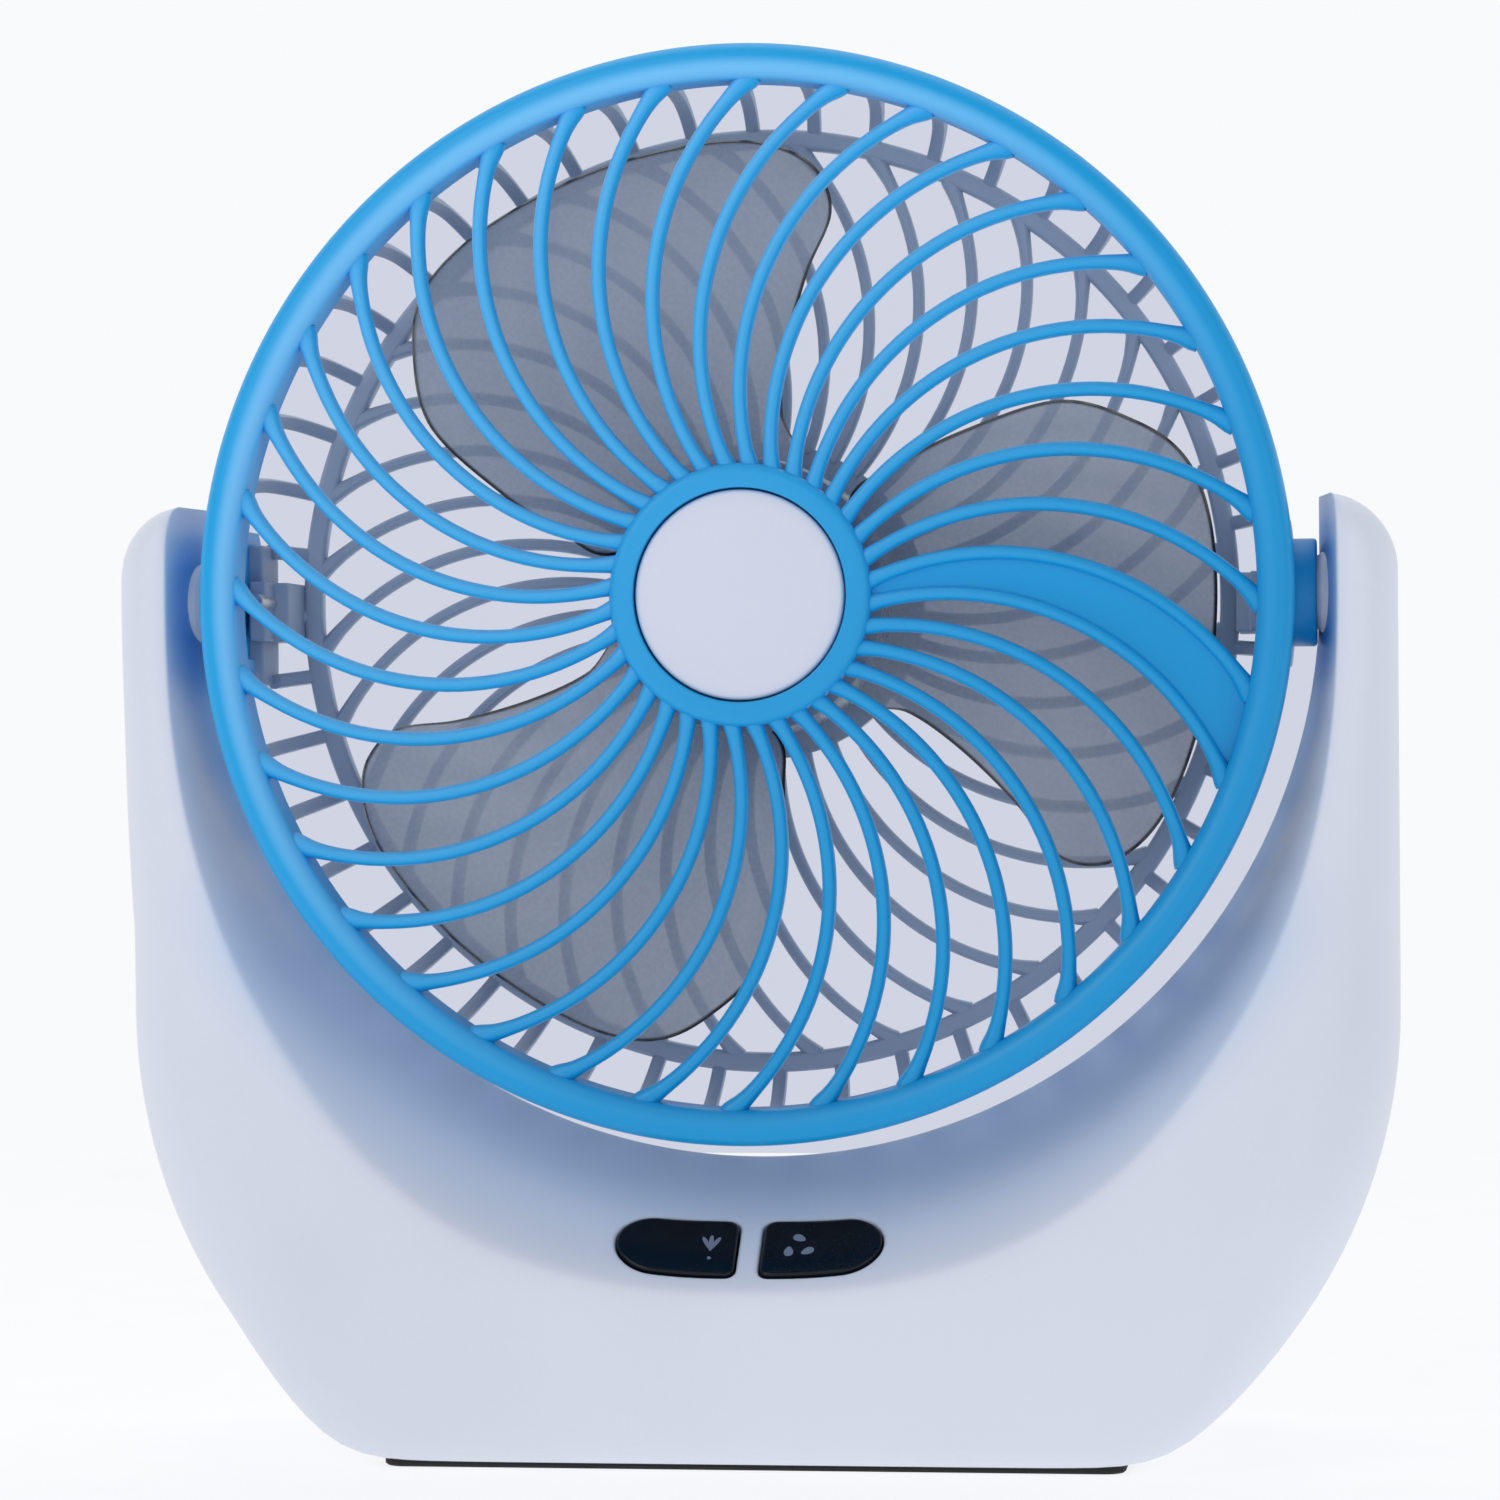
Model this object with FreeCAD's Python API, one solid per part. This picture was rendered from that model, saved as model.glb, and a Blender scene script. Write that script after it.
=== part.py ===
"""A small rechargeable tilting desk fan: a round head that tilts in a U-shaped cradle base.

X runs to the viewer's right, the fan blows towards -Y and Z is up. Lengths are millimetres.
The origin is on the table, under the middle of the whole object. Depths of the design count
backwards (+Y) from the front of the blue ring, and at() turns a depth into a Y.
"""
import FreeCAD, Part
import math
import os

Vec = FreeCAD.Vector

# Overall sizes. The cradle is built round the head, and its arms and heel follow the pivot.
RING_R = 87.0
BASE_BACK = 78.0            # depth of the heel, the rearmost point
HEAD_GAP = 3.5              # between the ring and the ridge of the scoop
ARM_W = 12.5
CHIN = 29.0                 # height of the face below the scoop
RIDGE_R = RING_R + HEAD_GAP
BASE_WIDTH = 2.0 * (RIDGE_R + ARM_W)
CREASE_HALF = RIDGE_R + 3.5
CREASE_DROP = RIDGE_R + 19.5
PIVOT_Z = CREASE_DROP + CHIN    # height of the tilt axis and of the head's centre
ARM_TOP_Z = PIVOT_Z + 15.5

# Head: the blue front grille
RING_BAND = 5.8
RING_DEPTH = 10.0
RING_ROUND = 2.6
HUB_R = 20.8
HUB_FRONT = 1.6
HUB_BACK = 7.0
HUB_FLOOR = 1.4
CAP_R = 16.6
CAP_T = 2.2
CAP_RECESS = 0.6
CAP_GAP = 0.25
SPOKES = 36
SPOKE_W = 2.4
SPOKE_FRONT = 2.6
SPOKE_BACK = 6.2
SPOKE_ARC_CENTRE_R = 57.2 / 87.0 * RING_R   # distance of a spoke's arc centre from the hub's
SPOKE_ARC_R = SPOKE_ARC_CENTRE_R - 10.0     # every spoke is one circular arc
SPOKE_ARC_START = -55.7     # polar angle of the first spoke's arc centre, in degrees
PANEL_FRONT = 4.0           # the one filled cell between two spokes
PANEL_T = 1.5

# Head: the rear basket
MID_RING_R = RING_R - 9.5
MID_RING_W = 3.2
MID_RING_FRONT = 36.5
BASKET_BACK = 40.0
SIDE_RIBS = 48
SIDE_RIB_W = 2.2
SIDE_RIB_T = 2.8
RIM_T = 3.0
RIM_GAP = 0.8               # the basket's rim lies this far inside the ring's edge
RIB_BURY = 0.4              # how far a rib's ends lie inside what they join
SHOULDER_DROP = 1.8         # how far in a side rib has come halfway back
REAR_RIBS = 36
REAR_RIB_W = 2.0
REAR_ARC_CENTRE_R = 52.0 / 87.0 * RING_R
REAR_ARC_R = REAR_ARC_CENTRE_R - 8.8        # every rear rib is one arc, bent against the spokes
REAR_HUB_R = 26.0
REAR_HUB_T = 3.0
BLOCK_HALF = 6.0            # half height of the pivot's stiffening block
BLOCK_IN = 5.2
BLOCK_GAP = 0.3
TIE_HALF = 13.0             # half height of the bar that ties a block to its neighbours

# Tilt pivot
PIVOT_DEPTH = 22.0
EAR_HALF_DEG = 7.8
EAR_T = 4.0
EAR_SETBACK = 0.2           # the ears lie this far inside the ring's edge
FOOT_WALL = 0.4             # what is left inside of a head screw
FOOT_HALF = 6.0
FOOT_GAP = 0.2
HEAD_SCREW_END = 13.0
EAR_BACK = 33.0
EAR_ROOM = 1.0              # what the basket's rim and ribs keep clear above and below an ear
BOSS_R = 9.4
JOURNAL_R = 6.0
RUN_FIT = 0.05              # radial clearance of a turning fit
BUSH_R = 8.0
BUSH_LEN = 4.2
WASHER_R = 7.4
WASHER_T = 0.8
PIVOT_SCREW_R = 1.5
PIVOT_SCREW_LEN = 8.0
PIVOT_SCREW_HEAD_R = 3.0
PIVOT_SCREW_HEAD_T = 1.8
END_PLAY = 0.3

# Impeller and motor
BLADES = 3
BLADE_TIP_R = RING_R - 12.5
BLADE_T = 1.4
BLADE_FIRST = 113.0         # polar angle of the first blade's middle, in degrees
BLADE_FRONT = 13.0
BLADE_BACK = 31.0
BLADE_BOW = 2.0             # how far a blade's middle bows to the rear
# Across one blade: distance out from the hub's centre, trailing edge, leading edge, half rise
BLADE_SECTIONS = [(13.0, 16.0, -13.5, 8.5), (31.0, 30.0, -17.5, 8.0), (46.0, 36.7, -28.0, 7.0),
                  (60.0, 33.5, -37.5, 5.5), (77.0, 20.0, -29.0, 4.0)]
ROTOR_HUB_R = 22.3
ROTOR_HUB_WALL = 1.8
ROTOR_FRONT = 10.5
ROTOR_BACK = 33.0
MOTOR_R = 14.0
MOTOR_FRONT = 21.0
MOTOR_WALL = 0.8
MOTOR_CAP_T = 2.5
SHAFT_R = 1.15
SHAFT_FRONT = 11.0
MOTOR_BUSH_R = 3.0
MOTOR_BUSH_LEN = 3.0
CORE_R = 9.5
CORE_LEN = 9.0
MAGNET_T = 2.6
COMMUTATOR_R = 3.2
COMMUTATOR_LEN = 2.0
MOTOR_COVER_R = 24.0
MOTOR_COVER_T = 4.0
MOTOR_SCREW_X = 8.0
MOTOR_SCREW_R = 1.2

# Base shells
WALL = 2.2
PAD_PROUD = 1.0
FLANK_R = BASE_WIDTH / 2.0 - 16.3       # the sides sweep in to the foot on this radius
FLANK_TOP_Z = PIVOT_Z - 66.0
ARM_CORNER_R = 12.0
ARM_FRONT = 6.0             # depths of the arm's front and back faces
ARM_BACK = 40.0
BELLY_TOP_Z = PIVOT_Z - 59.0            # the front starts to swell here
BELLY_FRONT = 1.5
BELLY_Z = 26.0
FOOT_FRONT = 5.0
HEEL_Z = 22.0
HEEL_TOP_Z = PIVOT_Z - 19.0
FOOT_BACK = BASE_BACK - 3.0
PART_DEPTH = 27.0           # the two shells part at the ridge of the scoop

# Scoop: the hollow in which the head hangs
RIDGE_DEPTH = PART_DEPTH
CREASE_DEPTH = 1.5
CREASE_POWER = 2.4          # of the superellipse that the crease follows
REAR_HALF = RIDGE_R + 7.5
REAR_DROP = RIDGE_R + 17.5
REAR_DEPTH = BASE_BACK + 8.0

# Buttons, in the plane of the scoop's slope
BUTTON_IN = 1.4
BUTTON_OUT = 20.9
BUTTON_LOW = 4.0            # distances up the slope from the crease
BUTTON_HIGH = 19.0
BUTTON_CORNER = 1.6
BUTTON_GAP = 0.3
BUTTON_PROUD = 0.4
BUTTON_TRAVEL = 0.8
BUTTON_STEM_R = 2.2
BUTTON_STEM_END = 7.0       # distance below the slope
BUTTON_FLANGE = 1.0
BUTTON_FLANGE_TOP = 3.4
BUTTON_FLANGE_T = 1.0
SWITCH_SIDE = 6.0
SWITCH_BODY = 3.4
PLUNGER_R = 1.7
PLUNGER_H = 1.0
BOARD_T = 1.6
BOARD_HALF_X = 31.0
BOARD_HALF_V = 10.0
BOARD_POST_X = 27.0
BOARD_POST_R = 2.4

# Lamp in the back of the base
LAMP_HALF = 45.0
LAMP_LOW_Z = 10.0
LAMP_HIGH_Z = 26.0
LAMP_GAP = 0.15
LAMP_T = 1.8
LED_BOARD_HALF = 50.0
LED_BOARD_REAR = BASE_BACK - 7.5        # depth of the face that carries the chips
LED_COUNT = 12
LED_W = 2.8
LED_H = 3.5
LED_T = 0.8
LED_POST_X = 47.6
LED_POST_R = 1.6

# Power
CELL_R = 9.2
CELL_LEN = 65.0
CELL_DEPTH = BASE_BACK - 28.0
TRAY_WALL = 1.6
TRAY_HALF_W = 11.5
TRAY_H = 8.0
CELL_FLOOR = 0.8
CELL_GAP = 0.1
CLIP_T = 0.6
CLIP_W = 10.0
CLIP_H = 12.0
USB_X = 64.0
USB_W = 9.0
USB_H = 3.3
USB_LEN = 7.4
USB_WALL = 0.35
USB_Z = 13.0                # underside of the socket
USB_BOARD_T = 1.2
USB_BOARD_W = 18.0
USB_BOARD_FRONT = BASE_BACK - 26.0
USB_BOARD_GAP = 1.6
USB_POST_R = 2.0
LENS_X = 56.0
LENS_R = 1.5

# Fasteners of the shells and the pad
SCREW_R = 1.3
SCREW_HEAD_R = 2.6
SCREW_HEAD_T = 2.0
SCREW_SEAT = PART_DEPTH + 1.0           # depth of the face under a screw's head
SCREW_END = 12.0
SCREW_GAP = 0.05
POST_R = 3.4
COUNTERBORE_R = 3.0
COUNTERBORE_WALL = 1.4
ARM_SCREW_X = BASE_WIDTH / 2.0 - 6.1
ARM_SCREW_Z = PIVOT_Z - 21.0
FOOT_SCREW_X = 62.0
FOOT_SCREW_Z = 32.0
PAD_HALF = 59.5
PAD_FRONT = 9.0
PAD_BACK = FOOT_BACK - 5.0
PAD_LET_IN = 0.8

FAR = 200.0                 # longer than anything in the object
SLOPE = math.atan2(CREASE_DROP - RIDGE_R, RIDGE_DEPTH - CREASE_DEPTH)
RING_IN = RING_R - RING_BAND


def at(depth):
    """The Y of a depth behind the ring's front, with the whole object centred on Y = 0."""
    return depth - BASE_BACK / 2.0


def polar(radius, degrees, depth=0.0):
    """A point of the head, by its distance and angle from the head's centre."""
    angle = math.radians(degrees)
    return Vec(radius * math.cos(angle), at(depth), PIVOT_Z + radius * math.sin(angle))


def box(x0, x1, depth0, depth1, z0, z1):
    return Part.makeBox(x1 - x0, depth1 - depth0, z1 - z0, Vec(x0, at(depth0), z0))


def rod_y(x, z, depth0, depth1, radius):
    return Part.makeCylinder(radius, depth1 - depth0, Vec(x, at(depth0), z), Vec(0, 1, 0))


def rod_x(x0, x1, depth, z, radius):
    return Part.makeCylinder(radius, abs(x1 - x0), Vec(min(x0, x1), at(depth), z), Vec(1, 0, 0))


def disc(depth0, depth1, radius):
    """A disc about the head's axis."""
    return rod_y(0.0, PIVOT_Z, depth0, depth1, radius)


def tube(depth0, depth1, outer, inner):
    return disc(depth0, depth1, outer).cut(disc(depth0 - 1.0, depth1 + 1.0, inner))


def joined(shapes):
    """One solid from touching ones."""
    result = shapes[0]
    if len(shapes) > 1:
        result = result.fuse(shapes[1:])
    return result.removeSplitter()


def arc(a, b, c):
    return Part.Arc(a, b, c).toShape()


def line(a, b):
    return Part.LineSegment(a, b).toShape()


def extruded(edges, direction):
    return Part.Face(Part.Wire(edges)).extrude(direction)


def turned(shape, degrees):
    """The shape turned about the head's axis, counter-clockwise as seen from the front."""
    copy = shape.copy()
    copy.rotate(Vec(0, 0, PIVOT_Z), Vec(0, -1, 0), degrees)
    return copy


def mirrored(shape):
    return shape.mirror(Vec(0, 0, 0), Vec(1, 0, 0))


# ---------------------------------------------------------------- base shells

def outline_prism(inset):
    """The base's front view, carried through its depth."""
    foot_z = PAD_PROUD + inset
    flank_x = BASE_WIDTH / 2.0 - FLANK_R
    flank_r = FLANK_R - inset
    start = math.asin((FLANK_TOP_Z - foot_z) / flank_r)
    corner_r = ARM_CORNER_R - inset
    corner_x = BASE_WIDTH / 2.0 - ARM_CORNER_R
    corner_z = ARM_TOP_Z - ARM_CORNER_R
    slant = math.radians(45.0)

    def flank(angle):
        return (flank_x + flank_r * math.cos(angle), FLANK_TOP_Z - flank_r * math.sin(angle))

    def corner(angle):
        return (corner_x + corner_r * math.cos(angle), corner_z + corner_r * math.sin(angle))

    right = [flank(start), flank(start / 2.0), flank(0.0), corner(0.0), corner(slant),
             corner(math.radians(90.0))]
    p = [Vec(x, at(-FAR / 4.0), z) for x, z in right]
    m = [Vec(-x, at(-FAR / 4.0), z) for x, z in right]
    edges = [arc(p[0], p[1], p[2]), line(p[2], p[3]), arc(p[3], p[4], p[5]), line(p[5], m[5]),
             arc(m[5], m[4], m[3]), line(m[3], m[2]), arc(m[2], m[1], m[0]), line(m[0], p[0])]
    return extruded(edges, Vec(0, FAR, 0))


def side_prism(inset):
    """The base's side view, carried across its width."""
    def p(depth, z):
        return Vec(-FAR, at(depth), z)

    top = ARM_TOP_Z - inset
    foot = PAD_PROUD + inset
    arm_front = ARM_FRONT + inset
    belly = BELLY_FRONT + inset
    foot_front = FOOT_FRONT + inset
    foot_back = FOOT_BACK - inset
    heel = BASE_BACK - inset
    arm_back = ARM_BACK - inset
    edges = [
        line(p(arm_front, top), p(arm_front, BELLY_TOP_Z)),
        arc(p(arm_front, BELLY_TOP_Z), p(arm_front * 0.75 + belly * 0.25, 0.5 * (BELLY_TOP_Z + BELLY_Z)),
            p(belly, BELLY_Z)),
        arc(p(belly, BELLY_Z), p(belly + 0.9, 0.4 * BELLY_Z + 0.6 * foot), p(foot_front, foot)),
        line(p(foot_front, foot), p(foot_back, foot)),
        arc(p(foot_back, foot), p(heel - 0.8, 0.5 * (foot + HEEL_Z)), p(heel, HEEL_Z)),
        arc(p(heel, HEEL_Z), p(0.42 * heel + 0.58 * arm_back, 0.5 * (HEEL_Z + HEEL_TOP_Z)),
            p(arm_back, HEEL_TOP_Z)),
        line(p(arm_back, HEEL_TOP_Z), p(arm_back, top)),
        line(p(arm_back, top), p(arm_front, top))]
    return extruded(edges, Vec(2.0 * FAR, 0, 0))


def channel_wire(depth, half, drop, power):
    """A U at one depth: upright sides, and a bottom on |x/half|^power + |z/drop|^power = 1."""
    points = []
    steps = 16
    for i in range(steps + 1):
        angle = math.pi * i / steps
        c = math.cos(angle)
        s = math.sin(angle)
        x = half * math.copysign(abs(c) ** (2.0 / power), c)
        points.append(Vec(x, at(depth), PIVOT_Z - drop * s ** (2.0 / power)))
    curve = Part.BSplineCurve()
    curve.interpolate(Points=points, InitialTangent=Vec(0, 0, -1), FinalTangent=Vec(0, 0, 1))
    high = PIVOT_Z + FAR / 4.0
    return Part.Wire([curve.toShape(),
                      line(points[-1], Vec(-half, at(depth), high)),
                      line(Vec(-half, at(depth), high), Vec(half, at(depth), high)),
                      line(Vec(half, at(depth), high), points[0])])


def channel(inset):
    """What the scoop takes away: a front slope and a gentler rear slope that meet at a ridge."""
    ridge = channel_wire(RIDGE_DEPTH, RIDGE_R + inset, RIDGE_R + inset, 2.0)
    ahead = -8.0
    reach = (RIDGE_DEPTH - ahead) / (RIDGE_DEPTH - CREASE_DEPTH)
    front = channel_wire(ahead, RIDGE_R + inset + (CREASE_HALF - RIDGE_R) * reach,
                         RIDGE_R + inset + (CREASE_DROP - RIDGE_R) * reach, CREASE_POWER)
    rear = channel_wire(REAR_DEPTH, REAR_HALF + inset, REAR_DROP + inset, 2.0)
    front_part = Part.makeLoft([front, ridge], True, True)
    rear_part = Part.makeLoft([ridge, rear], True, True)
    return front_part.fuse(rear_part)


def base_block(inset):
    """The base as one block, or its hollow when the inset is the wall."""
    return outline_prism(inset).common(side_prism(inset)).cut(channel(inset))


def slope_placement():
    """The scoop's slope at its middle: x across, y up the slope from the crease, z outwards."""
    start = Vec(0, at(CREASE_DEPTH), PIVOT_Z - CREASE_DROP)
    return FreeCAD.Placement(start, FreeCAD.Rotation(Vec(1, 0, 0), math.degrees(SLOPE)))


def on_slope(shape):
    shape.Placement = slope_placement().multiply(shape.Placement)
    return shape


def slope_rod(x, y, z0, z1, radius):
    return on_slope(Part.makeCylinder(radius, z1 - z0, Vec(x, y, z0)))


def slope_box(x0, x1, y0, y1, z0, z1):
    return on_slope(Part.makeBox(x1 - x0, y1 - y0, z1 - z0, Vec(x0, y0, z0)))


def button_prism(grow, z0, z1):
    """The right button's outline on the slope: square towards the middle, round outwards."""
    x0 = BUTTON_IN - grow
    y0 = BUTTON_LOW - grow
    y1 = BUTTON_HIGH + grow
    end_r = 0.5 * (y1 - y0)
    x1 = BUTTON_OUT + grow - end_r
    mid = 0.5 * (y0 + y1)
    r = BUTTON_CORNER + max(grow, 0.0)
    k = r * (1.0 - math.sqrt(0.5))
    p = [Vec(x0 + r, y0, z0), Vec(x1, y0, z0), Vec(x1 + end_r, mid, z0), Vec(x1, y1, z0),
         Vec(x0 + r, y1, z0), Vec(x0 + k, y1 - k, z0), Vec(x0, y1 - r, z0), Vec(x0, y0 + r, z0),
         Vec(x0 + k, y0 + k, z0)]
    edges = [line(p[0], p[1]), arc(p[1], p[2], p[3]), line(p[3], p[4]), arc(p[4], p[5], p[6]),
             line(p[6], p[7]), arc(p[7], p[8], p[0])]
    return on_slope(extruded(edges, Vec(0, 0, z1 - z0)))


def screw_places():
    for side in (-1.0, 1.0):
        yield side * ARM_SCREW_X, ARM_SCREW_Z
        yield side * FOOT_SCREW_X, FOOT_SCREW_Z


def pivot_seat(side):
    """The round boss in an arm that holds the pivot bush."""
    inner = RIDGE_R
    return rod_x(side * inner, side * (inner + BUSH_LEN), PIVOT_DEPTH, PIVOT_Z, BUSH_R + WALL)


def base_front_shell(block, hollow):
    shell = block.cut(hollow).common(box(-FAR, FAR, -FAR, PART_DEPTH, -FAR, FAR))
    ahead = box(-FAR, FAR, -FAR, PART_DEPTH, -FAR, FAR)
    additions = []
    for side in (-1.0, 1.0):
        additions.append(pivot_seat(side).common(ahead))
    for x, z in screw_places():
        post = rod_y(x, z, 0.0, PART_DEPTH, POST_R).common(block)
        additions.append(post)
    for side in (-1.0, 1.0):
        post_y = 0.5 * (BUTTON_LOW + BUTTON_HIGH)
        post = slope_rod(side * BOARD_POST_X, post_y, -board_drop(), 8.0, BOARD_POST_R)
        additions.append(post.common(block).common(ahead))
    shell = joined([shell] + additions)
    for side in (-1.0, 1.0):
        bore = rod_x(side * (RIDGE_R - 5.0), side * (RIDGE_R + BUSH_LEN + 1.0), PIVOT_DEPTH, PIVOT_Z,
                     BUSH_R + SCREW_GAP)
        shell = shell.cut(bore)
    for x, z in screw_places():
        shell = shell.cut(rod_y(x, z, SCREW_END, PART_DEPTH + 1.0, SCREW_R + SCREW_GAP))
    opening = button_prism(BUTTON_GAP, -BUTTON_FLANGE_TOP - 1.0, 8.0)
    shell = shell.cut(opening).cut(mirrored(opening))
    return shell.cut(pad_solid())


def base_rear_shell(block, hollow):
    behind = box(-FAR, FAR, PART_DEPTH, FAR, -FAR, FAR)
    shell = block.cut(hollow).common(behind)
    additions = []
    cuts = []
    for side in (-1.0, 1.0):
        additions.append(pivot_seat(side).common(behind))
        cuts.append(rod_x(side * (RIDGE_R - 5.0), side * (RIDGE_R + BUSH_LEN + 1.0), PIVOT_DEPTH,
                          PIVOT_Z, BUSH_R + SCREW_GAP))
    for x, z in screw_places():
        sleeve = rod_y(x, z, PART_DEPTH, FAR, COUNTERBORE_R + COUNTERBORE_WALL)
        additions.append(sleeve.common(block))
        cuts.append(rod_y(x, z, SCREW_SEAT, FAR, COUNTERBORE_R))
        cuts.append(rod_y(x, z, PART_DEPTH - 1.0, SCREW_SEAT + 1.0, SCREW_R + SCREW_GAP))
    for side in (-1.0, 1.0):
        post = rod_y(side * LED_POST_X, lamp_middle(), LED_BOARD_REAR, FAR, LED_POST_R)
        additions.append(post.common(block))
    for depth in (USB_BOARD_FRONT + 4.0, USB_BOARD_FRONT + 14.0):
        post = Part.makeCylinder(USB_POST_R, USB_Z - USB_BOARD_T - PAD_PROUD,
                                 Vec(USB_X, at(depth), PAD_PROUD))
        additions.append(post)
    shell = joined([shell] + additions)
    for cutter in cuts:
        shell = shell.cut(cutter)
    shell = shell.cut(lamp_prism(LAMP_GAP))
    usb = box(USB_X - USB_W / 2.0 - LAMP_GAP, USB_X + USB_W / 2.0 + LAMP_GAP, USB_BOARD_FRONT + 10.0, FAR,
              USB_Z - LAMP_GAP, USB_Z + USB_H + LAMP_GAP)
    shell = shell.cut(usb)
    shell = shell.cut(rod_y(LENS_X, usb_middle(), USB_BOARD_FRONT + 10.0, FAR, LENS_R + LAMP_GAP))
    return shell.cut(pad_solid())


def pad_solid():
    """The rubber strip, let into the underside and standing proud of it."""
    return box(-PAD_HALF, PAD_HALF, PAD_FRONT, PAD_BACK, 0.0, PAD_PROUD + PAD_LET_IN)


# ---------------------------------------------------------------- lamp and power

def lamp_middle():
    return 0.5 * (LAMP_LOW_Z + LAMP_HIGH_Z)


def lamp_prism(grow):
    r = 0.5 * (LAMP_HIGH_Z - LAMP_LOW_Z) + grow
    x = LAMP_HALF - 0.5 * (LAMP_HIGH_Z - LAMP_LOW_Z)
    z = lamp_middle()
    window = box(-x, x, LED_BOARD_REAR + 1.0, FAR, z - r, z + r)
    for side in (-1.0, 1.0):
        window = window.fuse(rod_y(side * x, z, LED_BOARD_REAR + 1.0, FAR, r))
    return window.removeSplitter()


def lamp_diffuser(block):
    return lamp_prism(0.0).common(block).cut(base_block(LAMP_T))


def led_board():
    return box(-LED_BOARD_HALF, LED_BOARD_HALF, LED_BOARD_REAR - BOARD_T, LED_BOARD_REAR,
               LAMP_LOW_Z, LAMP_HIGH_Z)


def led_chips():
    chips = []
    pitch = 2.0 * (LAMP_HALF - LED_W * 2.0) / (LED_COUNT - 1)
    z = lamp_middle()
    for i in range(LED_COUNT):
        x = pitch * (i - 0.5 * (LED_COUNT - 1))
        chips.append(box(x - LED_W / 2.0, x + LED_W / 2.0, LED_BOARD_REAR, LED_BOARD_REAR + LED_T,
                         z - LED_H / 2.0, z + LED_H / 2.0))
    return Part.makeCompound(chips)


def floor_z():
    return PAD_PROUD + WALL


def cell_z():
    return floor_z() + CELL_FLOOR + CELL_R


def battery_tray():
    half = CELL_LEN / 2.0 + CLIP_T + TRAY_WALL
    tray = box(-half, half, CELL_DEPTH - TRAY_HALF_W, CELL_DEPTH + TRAY_HALF_W, floor_z(),
               floor_z() + TRAY_H)
    bed = rod_x(-half + TRAY_WALL, half - TRAY_WALL, CELL_DEPTH, cell_z(), CELL_R + CELL_GAP)
    return tray.cut(bed)


def battery_cell():
    cell = rod_x(-CELL_LEN / 2.0, CELL_LEN / 2.0, CELL_DEPTH, cell_z(), CELL_R)
    cap = rod_x(CELL_LEN / 2.0, CELL_LEN / 2.0 + CLIP_T / 2.0, CELL_DEPTH, cell_z(), CELL_R / 3.0)
    return cell.fuse(cap).removeSplitter()


def battery_clips():
    """Spring plates that press on the cell's two ends."""
    clips = []
    for side in (-1.0, 1.0):
        x0 = side * CELL_LEN / 2.0 + (CLIP_T / 2.0 if side > 0 else 0.0)
        x1 = side * (CELL_LEN / 2.0 + CLIP_T)
        clips.append(box(min(x0, x1), max(x0, x1), CELL_DEPTH - CLIP_W / 2.0, CELL_DEPTH + CLIP_W / 2.0,
                         cell_z() - CLIP_H / 2.0, cell_z() + CLIP_H / 2.0))
    return Part.makeCompound(clips)


def usb_middle():
    return USB_Z + USB_H / 2.0


def usb_socket(block):
    back = BASE_BACK - 1.2
    outer = box(USB_X - USB_W / 2.0, USB_X + USB_W / 2.0, back - USB_LEN, back, USB_Z, USB_Z + USB_H)
    inner = box(USB_X - USB_W / 2.0 + USB_WALL, USB_X + USB_W / 2.0 - USB_WALL, back - USB_LEN + 1.0,
                back + 1.0, USB_Z + USB_WALL, USB_Z + USB_H - USB_WALL)
    return outer.cut(inner).common(block)


def charge_board():
    return box(USB_X - USB_BOARD_W / 2.0 - 2.0, USB_X + USB_BOARD_W / 2.0 - 2.0, USB_BOARD_FRONT,
               BASE_BACK - WALL - USB_BOARD_GAP, USB_Z - USB_BOARD_T, USB_Z)


def charge_lens(block):
    rod = rod_y(LENS_X, usb_middle(), BASE_BACK - 8.0, FAR, LENS_R)
    return rod.common(block).fuse(
        box(LENS_X - LENS_R, LENS_X + LENS_R, BASE_BACK - 8.0, BASE_BACK - 6.0, USB_Z,
            usb_middle())).removeSplitter()


# ---------------------------------------------------------------- buttons and their board

def switch_top():
    """Distance below the slope of a pressed button's stem end, where its switch begins."""
    return BUTTON_STEM_END + BUTTON_TRAVEL + 0.1


def board_drop():
    return switch_top() + PLUNGER_H + SWITCH_BODY


def button_middle():
    return 0.5 * (BUTTON_IN + BUTTON_OUT), 0.5 * (BUTTON_LOW + BUTTON_HIGH)


def fan_button(proud_block):
    cap = button_prism(0.0, -BUTTON_FLANGE_TOP, 8.0).common(proud_block)
    flange = button_prism(BUTTON_FLANGE, -BUTTON_FLANGE_TOP - BUTTON_FLANGE_T, -BUTTON_FLANGE_TOP)
    x, y = button_middle()
    stem = slope_rod(x, y, -BUTTON_STEM_END, -BUTTON_FLANGE_TOP, BUTTON_STEM_R)
    return joined([cap, flange, stem])


def fan_switch():
    x, y = button_middle()
    half = SWITCH_SIDE / 2.0
    body = slope_box(x - half, x + half, y - half, y + half, -board_drop(), -board_drop() + SWITCH_BODY)
    plunger = slope_rod(x, y, -board_drop() + SWITCH_BODY, -switch_top(), PLUNGER_R)
    return body.fuse(plunger).removeSplitter()


def control_board():
    y = 0.5 * (BUTTON_LOW + BUTTON_HIGH)
    return slope_box(-BOARD_HALF_X, BOARD_HALF_X, y - BOARD_HALF_V, y + BOARD_HALF_V,
                     -board_drop() - BOARD_T, -board_drop())


# ---------------------------------------------------------------- fasteners

def screw(x, z):
    head = rod_y(x, z, SCREW_SEAT, SCREW_SEAT + SCREW_HEAD_T, SCREW_HEAD_R)
    return head.fuse(rod_y(x, z, SCREW_END, SCREW_SEAT, SCREW_R)).removeSplitter()


def shell_screws():
    return Part.makeCompound([screw(x, z) for x, z in screw_places()])


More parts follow.
